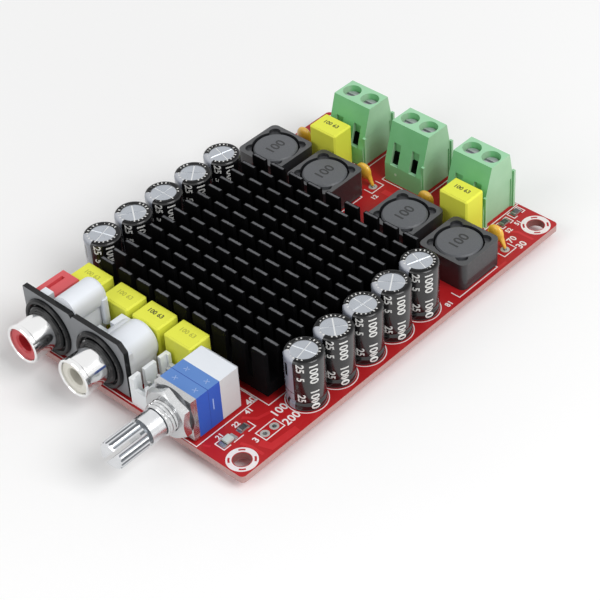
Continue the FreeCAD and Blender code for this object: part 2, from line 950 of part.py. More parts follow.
def phono_plate():
    """The front plate with two stepped collars round the sockets and a notch between them."""
    left = jack_places[0] - jack_plate_left
    right = jack_places[1] + jack_plate_right
    bottom = board_top + jack_plate_bottom
    top = board_top + jack_plate_top
    middle = (jack_places[0] + jack_places[1]) / 2
    half = jack_notch_width / 2
    outline = [(left, bottom), (right, bottom), (right, top - jack_plate_corner),
               (right - jack_plate_corner, top), (middle + half, top),
               (middle, top - jack_notch_depth), (middle - half, top), (left, top)]
    points = [V(x, jack_plate_front, z) for x, z in outline]
    plate = extrude(points, V(0, jack_plate_thickness, 0))
    inner = sleeve_radius + insert_play
    ring = inner + collar_inner_ring
    groove = ring + collar_groove
    outer = groove + collar_outer_ring
    front = jack_plate_front
    inner_front = front - collar_inner_reach
    outer_front = front - collar_outer_reach
    collars = []
    for x in jack_places:
        profile = [(inner, jack_plate_back), (inner, inner_front), (ring - collar_bevel, inner_front),
                   (ring, inner_front + collar_bevel), (ring, front), (groove, front),
                   (groove, outer_front + collar_bevel), (groove + collar_bevel, outer_front),
                   (outer - collar_bevel, outer_front), (outer, outer_front + collar_bevel),
                   (outer, jack_plate_back)]
        collars.append(turned_front(profile, x, jack_z))
    below = box(left, right, inner_front, jack_plate_back, 0, bottom)
    holes = [along_y(inner, x, jack_z, inner_front, jack_plate_back) for x in jack_places]
    return plate.fuse(collars).cut([below] + holes).removeSplitter()


sleeve_tip = jack_plate_front - sleeve_length


def phono_sleeve(x):
    """A plated tube with a rolled lip at its mouth."""
    inner = sleeve_radius - sleeve_wall
    lip = sleeve_tip + sleeve_lip_length
    edge = sleeve_lip_bevel
    profile = [(inner, sleeve_tip + edge), (inner + edge, sleeve_tip),
               (sleeve_lip_radius - edge, sleeve_tip), (sleeve_lip_radius, sleeve_tip + edge),
               (sleeve_lip_radius, lip - edge), (sleeve_lip_radius - edge, lip),
               (sleeve_radius, lip), (sleeve_radius, jack_plate_back), (inner, jack_plate_back)]
    return turned_front(profile, x, jack_z)


def jack_lug(x):
    """A low block beside a socket's barrel."""
    return jack_block(x - barrel_radius - lug_width, x, lug_length, board_top + lug_height)


def coded_envelope():
    """The space that the left socket's coloured moulding takes behind the plate."""
    x = jack_places[0]
    block = jack_block(x - coded_left, x - coded_right, coded_length, board_top + coded_height)
    return block.cut(jack_lug(x))


def coded_block():
    """The coloured moulding behind the plate, with a groove along its top."""
    left = jack_places[0] - coded_left + coded_groove_inset
    front = jack_plate_back + coded_groove_start
    top = board_top + coded_height
    groove = box(left, left + coded_groove_width, front, front + coded_groove_length,
                 top - coded_groove_depth, top + overshoot)
    return coded_envelope().cut(groove)


def phono_insert(x):
    """The insulator inside a sleeve, with the hole for the plug's pin."""
    radius = sleeve_radius - sleeve_wall - insert_play
    front = sleeve_tip + insert_sink
    profile = [(insert_bore_radius, front + insert_bevel), (insert_bore_radius + insert_bevel, front),
               (radius, front), (radius, jack_plate_back), (insert_bore_radius, jack_plate_back)]
    return turned_front(profile, x, jack_z)


def phono_centre_contact(x):
    """The springy tube that the plug's pin enters."""
    outer = insert_bore_radius - insert_play
    inner = outer - centre_contact_wall
    front = sleeve_tip + insert_sink + centre_contact_sink
    profile = [(inner, front), (outer, front), (outer, jack_plate_back), (inner, jack_plate_back)]
    return turned_front(profile, x, jack_z)


def jack_barrel(radius, x, z):
    """A barrel behind the plate with a rounded rear end."""
    barrel = along_y(radius, x, z, jack_plate_back, jack_back)
    return barrel.makeFillet(barrel_fillet, edges_at_depth(barrel, jack_back))


def jack_block(x0, x1, depth, top):
    """A block from the plate backwards, down to the moulding's foot."""
    return box(x0, x1, jack_plate_back, jack_plate_back + depth,
               board_top + jack_foot_bottom, top)


def phono_body():
    """The white moulding behind the plate: a high barrel, a low wide one, flange and lugs."""
    left_x, right_x = jack_places
    web_depth = barrel_length - barrel_fillet
    high_x = left_x + high_barrel_side
    high_z = jack_z + high_barrel_up
    low_x = right_x + low_barrel_side
    low_z = jack_z + low_barrel_up
    pieces = [jack_barrel(high_barrel_radius, high_x, high_z),
              jack_barrel(low_barrel_radius, low_x, low_z)]
    for x in jack_places:
        pieces.append(jack_barrel(barrel_radius, x, jack_z))
        pieces.append(jack_block(x - barrel_radius, x + barrel_radius, web_depth, jack_z))
        pieces.append(jack_lug(x))
    pieces.append(jack_block(left_x, low_x, jack_foot_depth, board_top + jack_foot_height))
    pieces.append(jack_block(high_x - high_barrel_web / 2, high_x + high_barrel_web / 2,
                             web_depth, high_z))
    pieces.append(jack_block(low_x - low_barrel_web / 2, low_x + low_barrel_web / 2,
                             web_depth, low_z))
    pieces.append(jack_block(right_x - flange_left, right_x + flange_right, flange_depth,
                             board_top + flange_height))
    facet_left = right_x - barrel_radius
    pieces.append(box(facet_left, facet_left + facet_width, jack_back - facet_depth, jack_back,
                      board_top + jack_foot_bottom, board_top + facet_height))
    pieces.append(upright(peg_radius, high_x + peg_side, jack_back - barrel_fillet,
                          board_top + peg_bottom, high_z))
    tab_x = left_x - tab_inset
    tab_top = board_top + jack_plate_top - tab_drop
    pieces.append(box(tab_x, tab_x + tab_width, jack_plate_back, jack_plate_back + tab_depth,
                      tab_top - tab_height, tab_top))
    return fuse(pieces).cut(coded_envelope())


# Input header

def input_header():
    """An open shroud for a three-pin plug: a slotted side wall, end walls low in the middle."""
    left = header_offset - header_width / 2
    right = header_offset + header_width / 2
    front = header_middle_y - header_length / 2
    back = header_middle_y + header_length / 2
    floor = board_top + header_floor
    top = board_top + header_height
    shell = box(left, right, front, back, board_top, top)
    cuts = [box(left + header_wall, right - header_wall, front + header_wall,
                back - header_wall, floor, top + overshoot)]
    for step in (-1, 1):
        cuts.append(centred_box(left, header_middle_y + step * header_slot_spacing / 2, floor,
                                2 * header_wall + overshoot, header_slot_width, header_height))
    cuts.append(box(left + header_post, right - header_post, front - overshoot, back + overshoot,
                    board_top + header_end_height, top + overshoot))
    for x, y in header_pin_positions():
        cuts.append(centred_box(x, y, board_top - overshoot, header_pin_size, header_pin_size,
                                header_floor + 2 * overshoot))
    return shell.cut(cuts)


# Small surface-mounted pieces

def small_box(x, y, size):
    """A small component that lies on the board."""
    return centred_box(x, y, board_top, size[0], size[1], size[2])


def surface_mount_parts():
    """The light, and chip parts at the front and back right corners."""
    places = [(front_resistor_place[0], board_front + front_resistor_place[1])]
    for x, inset in rear_part_places:
        places.append((x, board_back - inset))
    return group([status_led()] + [small_box(x, y, chip_resistor) for x, y in places])


def status_led():
    """The light: a flat carrier with a clear lens block on it."""
    x = led_place[0]
    y = board_front + led_place[1]
    width, length, height = led_size
    base = small_box(x, y, (width, length, led_base_height))
    lens = small_box(x, y, (width, led_lens_length, height))
    return fuse([base, lens])


def main():
    """Build every node."""
    save("circuit_board", circuit_board())
    save("heatsink", heatsink())
    screws = heatsink_screw_positions()
    save("heatsink_screws", group([heatsink_screw(x, y) for x, y in screws]))
    save("heatsink_spacers", group([heatsink_spacer(x, y) for x, y in screws]))
    save("amplifier_chip", amplifier_chip())
    save("thermal_pad", thermal_pad())

    for index, (x, y) in enumerate(can_positions()):
        save("electrolytic_capacitor_" + str(index + 1), electrolytic_capacitor(x, y))
    save("film_capacitors", group([film_capacitor(x, y) for x, y in film_positions()]))
    save("ceramic_capacitors", group([ceramic_capacitor(x, y) for x, y in disc_positions()]))
    save("component_leads", group([component_lead(x, y, top) for x, y, top in lead_pairs()]))
    for index, x in enumerate(inductor_places):
        save("inductor_shield_" + str(index + 1), inductor_shield(x))
    save("inductor_cores", group([inductor_core(x) for x in inductor_places]))

    for index, x in enumerate(terminal_places):
        save("terminal_housing_" + str(index + 1), terminal_housing(x))
    for index, x in enumerate(pole_positions()):
        save("terminal_screw_" + str(index + 1), terminal_screw(x))
        save("terminal_cage_" + str(index + 1), terminal_cage(x))
    save("terminal_contacts", group([terminal_contact(x) for x in pole_positions()]))

    save("control_front_plate", control_front_plate())
    save("control_front_wafer", control_wafer(wafer_front, wafer_joint))
    save("control_rear_wafer", control_wafer(wafer_joint, cover_front))
    save("control_rear_cover", control_rear_cover())
    save("control_bushing", control_bushing())
    save("control_shaft", control_shaft())
    save("control_washer", control_washer())
    save("control_nut", control_nut())
    pin_top = board_top + control_bottom
    pins = [board_pin(x, y, control_pin_size, pin_top) for x, y in control_pin_positions()]
    save("control_pins", group(pins))

    save("phono_plate", phono_plate())
    save("phono_body", phono_body())
    save("phono_sleeve_left", phono_sleeve(jack_places[0]))
    save("phono_sleeve_right", phono_sleeve(jack_places[1]))
    save("phono_insert_left", fuse([phono_insert(jack_places[0]), coded_block()]))
    save("phono_insert_right", phono_insert(jack_places[1]))
    contacts = [phono_centre_contact(x) for x in jack_places]
    save("phono_centre_contacts", group(contacts))
    pin_top = board_top + jack_foot_bottom
    pins = [board_pin(x, y, jack_pin_size, pin_top) for x, y in jack_pin_positions()]
    save("phono_pins", group(pins))

    save("input_header", input_header())
    pin_top = board_top + header_pin_height
    pins = [board_pin(x, y, header_pin_size, pin_top) for x, y in header_pin_positions()]
    save("input_header_pins", group(pins))
    save("surface_mount_parts", surface_mount_parts())


main()
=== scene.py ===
import functools
import math

import bmesh
import bpy
from mathutils import Matrix, Vector


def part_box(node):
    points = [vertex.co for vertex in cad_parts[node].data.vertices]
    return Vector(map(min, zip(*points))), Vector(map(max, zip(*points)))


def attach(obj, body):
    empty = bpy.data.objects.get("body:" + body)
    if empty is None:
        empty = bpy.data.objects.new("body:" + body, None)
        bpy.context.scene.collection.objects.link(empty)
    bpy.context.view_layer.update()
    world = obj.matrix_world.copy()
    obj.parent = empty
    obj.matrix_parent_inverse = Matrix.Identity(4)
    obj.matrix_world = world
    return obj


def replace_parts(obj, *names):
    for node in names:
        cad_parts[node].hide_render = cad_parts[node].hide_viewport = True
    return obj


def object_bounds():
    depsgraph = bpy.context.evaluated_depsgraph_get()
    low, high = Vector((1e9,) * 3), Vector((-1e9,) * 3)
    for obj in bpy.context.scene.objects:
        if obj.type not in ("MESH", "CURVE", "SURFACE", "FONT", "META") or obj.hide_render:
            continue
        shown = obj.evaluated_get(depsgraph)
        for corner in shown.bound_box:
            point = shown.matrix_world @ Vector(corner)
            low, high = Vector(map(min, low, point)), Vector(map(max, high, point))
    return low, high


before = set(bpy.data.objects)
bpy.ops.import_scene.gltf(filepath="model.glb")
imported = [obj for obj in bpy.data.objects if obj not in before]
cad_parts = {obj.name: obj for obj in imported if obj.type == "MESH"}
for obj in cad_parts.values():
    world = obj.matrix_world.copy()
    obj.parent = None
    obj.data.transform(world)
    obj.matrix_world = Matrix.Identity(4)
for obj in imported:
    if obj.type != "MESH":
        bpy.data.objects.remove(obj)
cad_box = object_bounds()

# Looks of the audio amplifier board. Sizes are in millimetres unless a line says otherwise,
# and MM turns them into Blender's metres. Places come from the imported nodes.

MM = 0.001
X = 0
Y = 1
Z = 2
SIDES = (-1, 1)
SAME_PLACE = 0.0005


def corners(node):
    """Lowest and highest corner of a CAD node."""
    low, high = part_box(node)
    return Vector(low) / MM, Vector(high) / MM


def middle(node):
    low, high = corners(node)
    return (low + high) / 2


def numbered(stem, count):
    return ["%s_%d" % (stem, index + 1) for index in range(count)]


def solids(node):
    """Lowest and highest corner of each separate solid in a CAD node, from left to right."""
    mesh = bmesh.new()
    mesh.from_mesh(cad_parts[node].data)
    bmesh.ops.remove_doubles(mesh, verts=mesh.verts, dist=SAME_PLACE * MM)
    left = set(mesh.verts)
    boxes = []
    while left:
        group = [left.pop()]
        for vertex in group:
            near = left.intersection(edge.other_vert(vertex) for edge in vertex.link_edges)
            left -= near
            group += near
        spots = [[round(value, 3) for value in vertex.co / MM] for vertex in group]
        boxes.append([tuple(pick(values) for values in zip(*spots)) for pick in (min, max)])
    mesh.free()
    return [(Vector(low), Vector(high)) for low, high in sorted(boxes)]


def centres(node):
    """Centre of each separate solid in a CAD node."""
    return [(low + high) / 2 for low, high in solids(node)]


CANS = numbered("electrolytic_capacitor", 10)
SHIELDS = numbered("inductor_shield", 4)
HOUSINGS = numbered("terminal_housing", 3)
SCREWS = numbered("terminal_screw", 6)
CAGES = numbered("terminal_cage", 6)
HOLE_INSET = 3.40

board_low, board_high = corners("circuit_board")
board_top = board_high.z
board_under = board_low.z
board_front = board_low.y
board_back = board_high.y
hole_places = [(x, y) for x in (board_low.x + HOLE_INSET, board_high.x - HOLE_INSET)
               for y in (board_front + HOLE_INSET, board_back - HOLE_INSET)]
sink_low, sink_high = corners("heatsink")
cans = [middle(name) for name in CANS]
can_low, can_high = corners(CANS[0])
can_radius = (can_high.x - can_low.x) / 2
inductors = [middle(name) for name in SHIELDS]
inductor_low, inductor_high = corners(SHIELDS[0])
inductor_half = (inductor_high.x - inductor_low.x) / 2
core_top = corners("inductor_cores")[1].z
films = solids("film_capacitors")
plate_low, plate_high = corners("control_front_plate")
wafer_low, wafer_high = corners("control_front_wafer")
second_low, second_high = corners("control_rear_wafer")
bush_low, bush_high = corners("control_bushing")
bush_centre = (bush_low + bush_high) / 2
terminal_front = corners(HOUSINGS[0])[0].y
jack_low, jack_high = corners("phono_plate")
jacks = [middle("phono_sleeve_left"), middle("phono_sleeve_right")]


# Colour and shader helpers. Noise scales are features per metre.

CLOUD = 180.0
PATCH = 900.0
GRAIN = 9000.0
COAT_ROUGHNESS = 0.08


def hue(code):
    """A linear colour from six hexadecimal digits."""
    levels = []
    for start in (0, 2, 4):
        level = int(code[start:start + 2], 16) / 255
        levels.append(level / 12.92 if level <= 0.04045 else ((level + 0.055) / 1.055) ** 2.4)
    return (*levels, 1.0)


def shade(code, factor):
    """The same colour, darker or lighter."""
    return (*[level * factor for level in hue(code)[:3]], 1.0)


class Nodes:
    """The shader nodes of a material or a world."""

    def __init__(self, owner):
        owner.use_nodes = True
        self.tree = owner.node_tree

    def put(self, value, socket):
        """Links an output to a socket, or sets the socket to a plain value."""
        if isinstance(value, bpy.types.NodeSocket):
            self.tree.links.new(value, socket)
        else:
            socket.default_value = value

    def add(self, kind, inputs, **settings):
        """A node with some of its inputs and settings changed."""
        node = self.tree.nodes.new(kind)
        for key, value in settings.items():
            setattr(node, key, value)
        for key, value in inputs.items():
            self.put(value, node.inputs[key])
        return node

    def math(self, operation, *values):
        return self.add("ShaderNodeMath", dict(enumerate(values)), operation=operation).outputs[0]


class Finish(Nodes):
    """One material."""

    def __init__(self, roughness=0.5, metallic=0.0, coat=0.0, specular=0.5):
        self.material = bpy.data.materials.new("look")
        super().__init__(self.material)
        self.shader = self.tree.nodes["Principled BSDF"]
        self.set("Roughness", roughness)
        self.set("Metallic", metallic)
        self.set("Coat Weight", coat)
        self.set("Coat Roughness", COAT_ROUGHNESS)
        self.set("Specular IOR Level", specular)
        coordinates = self.add("ShaderNodeTexCoord", {})
        self.place = coordinates.outputs["Object"]
        self.box_place = coordinates.outputs["Generated"]

    def set(self, name, value):
        """Links or sets one of the shader's own sockets."""
        self.put(value, self.shader.inputs[name])

    def product(self, *values):
        total = values[0]
        for value in values[1:]:
            total = self.math("MULTIPLY", total, value)
        return total

    def inverse(self, mask):
        """1 where a mask is 0."""
        return self.math("SUBTRACT", 1.0, mask)

    def band(self, value, low, high):
        """1 between two levels."""
        return self.product(self.math("GREATER_THAN", value, low), self.math("LESS_THAN", value, high))

    def near(self, value, centre, half):
        """1 less than half away from a level."""
        return self.math("LESS_THAN", self.math("ABSOLUTE", self.math("SUBTRACT", value, centre)), half)

    def past(self, value, place):
        """How far a coordinate lies past a place in millimetres."""
        return self.math("SUBTRACT", value, place * MM)

    def reach(self, first, second):
        """The length of two numbers at a right angle."""
        squares = self.math("ADD", self.math("POWER", first, 2.0), self.math("POWER", second, 2.0))
        return self.math("SQRT", squares)

    def noise(self, scale, detail=3.0, place=None):
        """Smooth noise from 0 to 1."""
        inputs = {"Vector": place or self.place, "Scale": scale, "Detail": detail}
        return self.add("ShaderNodeTexNoise", inputs).outputs["Fac"]

    def pattern(self, value):
        """An output as it is, or noise of a given scale."""
        return value if isinstance(value, bpy.types.NodeSocket) else self.noise(value)

    def streaks(self, detail, scales):
        """Noise with its own scale along each axis."""
        node = self.add("ShaderNodeMapping", {"Vector": self.place, "Scale": scales})
        return self.noise(1.0, detail, node.outputs["Vector"])

    def split(self, vector):
        return self.add("ShaderNodeSeparateXYZ", {0: vector}).outputs

    def facing(self, axis):
        """The surface's direction along an axis."""
        return self.split(self.add("ShaderNodeNewGeometry", {}).outputs["Normal"])[axis]

    def steps(self, value, low, high):
        """0 below low, 1 above high, with a ramp between."""
        inputs = {"Value": value, "From Min": low, "From Max": high}
        return self.add("ShaderNodeMapRange", inputs).outputs["Result"]

    def toward(self, axis, low=0.5, high=0.9):
        """1 where the surface faces along an axis."""
        return self.steps(self.facing(axis), low, high)

    def mix(self, share, first, second):
        inputs = {0: share, 6: first, 7: second}
        return self.add("ShaderNodeMix", inputs, data_type="RGBA").outputs[2]

    def tint(self, share, first, second):
        """Two hexadecimal colours mixed by a pattern."""
        return self.mix(self.pattern(share), hue(first), hue(second))

    def two_tone(self, mask, share, first, second):
        """Two pairs of mixed colours, chosen by a mask."""
        return self.mix(mask, self.tint(share, *first), self.tint(share, *second))

    def uneven(self, share, spread, level):
        """Roughness that wanders by a spread around a level."""
        low = level - spread / 2
        self.set("Roughness", self.math("MULTIPLY_ADD", self.pattern(share), spread, low))

    def bump(self, height, distance, strength):
        """Raises the surface by a pattern; distance in millimetres."""
        inputs = {"Height": self.pattern(height), "Strength": strength, "Distance": distance * MM}
        self.set("Normal", self.add("ShaderNodeBump", inputs).outputs["Normal"])

    def done(self, colour, gloss=None, relief=None):
        """The material with its colour, gloss and relief."""
        self.set("Base Color", colour)
        if gloss:
            self.uneven(*gloss)
        if relief:
            self.bump(*relief)
        return self.material

    def moulding(self, colour, roughness, depth):
        """The material with the fine grain of a moulding."""
        return self.done(colour, (PATCH, 0.16, roughness), (self.noise(GRAIN, 2.0), depth, 0.35))


def tinted(colours, gloss, relief, **settings):
    """One wandering colour with its gloss and relief."""
    look = Finish(**settings)
    return look.done(look.tint(*colours), gloss, relief)


def printed(code, worn_code):
    """Ink on a part, slightly worn."""
    return tinted((2200, code, worn_code), None, (7000, 0.004, 0.4), roughness=0.6)


def moulded(code, roughness=0.4, depth=0.010, spread=0.10, coat=0.0, specular=0.5):
    """Moulded plastic of one cloudy colour."""
    look = Finish(coat=coat, specular=specular)
    colour = look.mix(look.noise(CLOUD, 4.0), shade(code, 1.0 - spread), shade(code, 1.0 + spread))
    return look.moulding(colour, roughness, depth)


def plated(code, roughness=0.22, scales=(4000, 4000, 300), depth=0.004, stain=0.82,
           metallic=1.0):
    """Plated or turned metal with fine marks along one direction."""
    look = Finish(metallic=metallic)
    marks = look.streaks(3.0, scales)
    return look.done(look.mix(look.noise(350, 4.0), shade(code, stain), hue(code)),
                     (marks, 0.18, roughness), (marks, depth, 0.30))


# Materials

HOLE_WALL = 1.90


def solder_mask():
    """Red varnish and the laminate's pale cut edge, with painted shade darkening the walls of its
    holes.
    """
    look = Finish(coat=0.05, specular=0.22)
    inputs = {"Vector": look.place, "Scale": 900, "Mortar Size": 0.05}
    weave = look.add("ShaderNodeTexBrick", inputs, offset=0.5).outputs["Fac"]
    here = look.split(look.place)
    hole_x, hole_y = hole_places[-1]
    middle_y = (board_front + board_back) / 2
    aside = look.past(look.math("ABSOLUTE", here[X]), hole_x)
    along = look.past(look.math("ABSOLUTE", look.past(here[Y], middle_y)), hole_y - middle_y)
    # Painted shade: the mounting holes' walls get a darker laminate colour.
    hole_shade = look.math("LESS_THAN", look.reach(aside, along), HOLE_WALL * MM)
    fibres = look.two_tone(hole_shade, 2500, ("a9807c", "c4a09c"), ("7a4340", "93605c"))
    flat = look.steps(look.math("ABSOLUTE", look.facing(Z)), 0.4, 0.6)
    return look.done(look.mix(flat, fibres, look.tint(90, "a8191d", "bc2428")),
                     (700, 0.14, 0.38), (look.math("ADD", weave, look.noise(4000)), 0.006, 0.25))


FIN_COLUMNS = 9
FIN_ROWS = 14
FIN_LENGTH = 3.60
FIN_THICKNESS = 0.85
# Where the grey streak on each fin's top lies; the streak is part machined metal, part painted
# highlight.
BARE_SHEEN_START = 0.14
BARE_SHEEN_STOP = 0.11
BARE_SHEEN_RAMP = 0.08
BARE_SHEEN_RAGGED = 0.30
BARE_SHEEN_DEPTHS = (0.16, 0.02)


def bare_sheen_band(look, value, low, high, count, size, ragged):
    """1 on the middle of each fin along one axis, with a ragged edge: the streak that is part machined
    metal, part painted highlight.
    """
    pitch = (high - low - size) / (count - 1)
    turns = look.math("MULTIPLY_ADD", value, 1 / (pitch * MM), -low / pitch)
    along = look.math("ADD", look.math("MULTIPLY", look.math("FRACT", turns), pitch), ragged)
    inner = look.steps(along, BARE_SHEEN_START, BARE_SHEEN_START + BARE_SHEEN_RAMP)
    outer = look.steps(along, size - BARE_SHEEN_STOP - BARE_SHEEN_RAMP, size - BARE_SHEEN_STOP)
    return look.product(inner, look.inverse(outer))


def black_anodised():
    """Black heatsink: near-black sides and a grey streak along each fin's top, part machined metal and
    part painted highlight.
    """
    look = Finish(specular=0.02)
    here = look.split(look.place)
    tips = look.steps(here[Z], *[(sink_high.z - depth) * MM for depth in BARE_SHEEN_DEPTHS])
    ragged = look.math("MULTIPLY_ADD", look.noise(2600, 2.0), BARE_SHEEN_RAGGED, -BARE_SHEEN_RAGGED / 2)
    streak = look.product(
        tips,
        bare_sheen_band(look, here[X], sink_low.x, sink_high.x, FIN_COLUMNS, FIN_LENGTH, ragged),
        bare_sheen_band(look, here[Y], sink_low.y, sink_high.y, FIN_ROWS, FIN_THICKNESS, ragged))
    streak_grain = look.steps(look.streaks(4.0, (500, 5200, 500)), 0.35, 0.75)
    streak_tone = look.tint(streak_grain, "505154", "77787b")
    return look.done(look.mix(streak, look.tint(260, "09090a", "0f0f10"), streak_tone),
                     (1200, 0.16, 0.45), (look.noise(8000, 4.0), 0.010, 0.35))


# The sleeve's print and the painted glints on its rim. The stripe and its dashes each have a middle and
# a half width, in radians from the can's front; reaches and heights are shares of the can's width and
# height.
STRIPE_TURN = (-0.34, 0.49)
DASH_TURN = (-0.31, 0.10)
DASH_BANDS = ((0.635, 0.881), (0.024, 0.167))
SEAM_BAND = (0.333, 0.347)
RIM_GLINT_COUNT = 22
RIM_GLINT_SHARE = 0.34
RIM_GLINT_REACH = (0.350, 0.405)
RIM_GLINT_HEIGHT = 0.97
LID_REACH = 0.3365


def can_sleeve():
    """Black shrink sleeve with a pale stripe and its dark dashes, the stripe paler where it faces up
    and white glints on the rim, both painted highlight; the uncovered scored top.
    """
    look = Finish()
    local = look.split(look.box_place)
    across = look.math("SUBTRACT", local[X], 0.5)
    along = look.math("SUBTRACT", local[Y], 0.5)
    reach = look.reach(across, along)
    turn = look.math("ARCTAN2", across, look.math("MULTIPLY", along, -1.0))
    dashes = look.math("MAXIMUM", *[look.band(local[Z], *band) for band in DASH_BANDS])
    dash = look.product(look.near(turn, *DASH_TURN), dashes)
    dark = look.math("MAXIMUM", dash, look.band(local[Z], *SEAM_BAND))
    up = look.toward(Z)
    # Painted highlight: the stripe is paler where it faces up.
    stripe = look.mix(up, look.tint(500, "868b98", "9ba0ab"), hue("b4b7be"))
    stripe = look.mix(dark, stripe, hue("15161a"))
    skin = look.mix(look.near(turn, *STRIPE_TURN), look.tint(400, "09090a", "131315"), stripe)
    # Painted highlight: short white glints round the sleeve's rim on top.
    glint_phase = look.math("FRACT", look.math("MULTIPLY", turn, RIM_GLINT_COUNT / (2 * math.pi)))
    marks = look.product(look.math("LESS_THAN", glint_phase, RIM_GLINT_SHARE),
                         look.math("GREATER_THAN", look.noise(480, 1.0), 0.48),
                         look.band(reach, *RIM_GLINT_REACH),
                         look.math("GREATER_THAN", local[Z], RIM_GLINT_HEIGHT))
    skin = look.mix(marks, skin, hue("dededb"))
    lid = look.product(look.math("LESS_THAN", reach, LID_REACH),
                       look.math("GREATER_THAN", local[Z], 0.5))
    look.set("Metallic", lid)
    look.set("Coat Weight", look.math("MULTIPLY_ADD", up, -0.45, 0.60))
    look.set("Specular IOR Level", look.math("MULTIPLY_ADD", up, -0.30, 0.42))
    return look.done(look.mix(lid, skin, look.tint(600, "d6d8da", "f0f1f1")),
                     (PATCH, 0.10, 0.24), (1500, 0.010, 0.30))


COLLAR_OUTER = 6.42
PHONO_FACE_DEPTH = 1.15


def phono_black():
    """Front plate: black edges, glossy black collars and a less glossy front face whose grey is a
    painted sheen.
    """
    look = Finish(specular=0.22)
    here = look.split(look.place)
    masks = []
    for centre in jacks:
        reach = look.reach(look.past(here[X], centre.x), look.past(here[Z], centre.z))
        masks.append(look.math("LESS_THAN", reach, COLLAR_OUTER * MM))
    face = look.product(look.math("LESS_THAN", look.facing(Y), -0.9),
                        look.inverse(look.math("MAXIMUM", *masks)),
                        look.math("LESS_THAN", here[Y], (jack_low.y + PHONO_FACE_DEPTH) * MM))
    # Painted sheen: the front face is grey where it faces forward.
    front_sheen = look.tint(look.noise(240, 4.0), "7b7d80", "8d8f92")
    return look.done(look.mix(face, look.tint(300, "0d0e0f", "17181a"), front_sheen),
                     (face, 0.28, 0.36), (5000, 0.010, 0.35))


def ferrite():
    """Dark pressed ferrite, rough and speckled, with a greyer top that is a painted highlight."""
    look = Finish(coat=0.55, specular=0.4)
    speck = look.noise(5200, 4.0)
    # Painted highlight: the top is greyer than the sides.
    colour = look.two_tone(look.toward(Z), speck, ("1b1c1e", "2c2d30"), ("303134", "434447"))
    return look.done(colour, (1500, 0.2, 0.48), (speck, 0.030, 0.6))


def drum_top():
    """The coated top of an inductor's drum."""
    look = Finish(specular=0.35)
    speck = look.noise(4200, 4.0)
    return look.done(look.tint(speck, "54565a", "66686c"), (1500, 0.2, 0.46), (speck, 0.020, 0.6))


FOOT_DEPTH = 10.60
FOOT_HEIGHT = 4.60
SHOULDER_RUN = 2.75 / 9.50
CHAMBER_HEIGHTS = (1.00, 7.28)
CHAMBER_WALL = 0.80
CHAMBER_SHARES = (0.13, 0.87)


def green_nylon():
    """Green terminal moulding: paler on top as a painted highlight and at the side as a painted
    reflection, and darkened inside its chambers by painted shade.
    """
    look = Finish(specular=0.30)
    here = look.split(look.place)
    cloud = look.noise(240, 4.0)
    # Painted highlight on top and painted reflection at the +X side: lighter copies of the green.
    skin = look.two_tone(look.toward(Z, 0.6), cloud, ("70bb7c", "82c98e"), ("97d0a4", "a8dbb3"))
    skin = look.mix(look.toward(X, 0.6), skin, look.tint(cloud, "95c29a", "a9cfac"))
    # Painted shade: the inside of each chamber is coloured near-black green.
    rise = look.math("MAXIMUM", look.past(here[Z], board_top + FOOT_HEIGHT), 0.0)
    slope = look.math("MULTIPLY_ADD", rise, SHOULDER_RUN, (terminal_front + CHAMBER_WALL) * MM)
    rear_wall = terminal_front + FOOT_DEPTH - CHAMBER_WALL
    heights = [(board_top + height) * MM for height in CHAMBER_HEIGHTS]
    chamber_shade = look.product(look.math("GREATER_THAN", here[Y], slope),
                           look.math("LESS_THAN", here[Y], rear_wall * MM),
                           look.band(here[Z], *heights),
                           look.band(look.split(look.box_place)[X], *CHAMBER_SHARES))
    return look.done(look.mix(chamber_shade, skin, hue("131c14")), (1400, 0.14, 0.42),
                     (6000, 0.012, 0.35))


def white_plastic():
    """White mouldings, a little greyer at their right sides by painted shade."""
    look = Finish(specular=0.35)
    # Painted shade: the right (+X) sides are greyer.
    colour = look.two_tone(look.toward(X, 0.6, 0.95), look.noise(CLOUD, 4.0),
                           ("e1e6ed", "e9edf3"), ("c3c5c6", "cfd0d1"))
    return look.moulding(colour, 0.38, 0.012)


SEAM_HALF = 0.07


def blue_wafer():
    """Blue laminate of the control's two wafers, paler on top as a painted highlight, with a dark seam
    between.
    """
    look = Finish(specular=0.30)
    # Painted highlight: the tops get a paler blue.
    blue = look.two_tone(look.toward(Z), look.noise(CLOUD, 4.0),
                         ("2450ae", "2f5cba"), ("557fc2", "638ccc"))
    seam = look.near(look.split(look.place)[Y], wafer_high.y * MM, SEAM_HALF * MM)
    return look.moulding(look.mix(seam, blue, hue("24479a")), 0.42, 0.010)


GROOVE_REACH = (2.80, 2.93)


def knurled_shaft():
    """Turned shaft, with painted shade darkening the grooves between its teeth and its neck."""
    look = Finish(metallic=1.0)
    here = look.split(look.place)
    reach = look.reach(look.past(here[X], bush_centre.x), look.past(here[Z], bush_centre.z))
    tooth = look.steps(reach, *[radius * MM for radius in GROOVE_REACH])
    # Painted shade in the grooves between the teeth and in the neck.
    groove_shade = look.product(look.math("GREATER_THAN", look.facing(Y), -0.6), look.inverse(tooth))
    marks = look.streaks(3.0, (5000, 300, 5000))
    bright = look.tint(look.noise(350, 4.0), "c9cbce", "e6e7e9")
    return look.done(look.mix(groove_shade, bright, hue("6f7378")), (marks, 0.18, 0.21), (marks, 0.004, 0.30))


def red_plastic():
    """Red insert, and the paler moulding of the same colour behind the plate."""
    look = Finish()
    behind = look.math("GREATER_THAN", look.split(look.place)[Y], jack_high.y * MM)
    colour = look.two_tone(behind, look.noise(CLOUD, 4.0), ("bb2c33", "cc3a40"), ("cf4a50", "dc595f"))
    return look.moulding(colour, 0.35, 0.010)


def glazed_chip():
    """Chip parts: dark glaze over pale ceramic edges."""
    look = Finish(coat=0.5)
    glaze = look.tint(1500, "26272a", "4a4b4e")
    return look.done(look.mix(look.toward(Z), hue("8a8c88"), glaze), (1500, 0.2, 0.25))


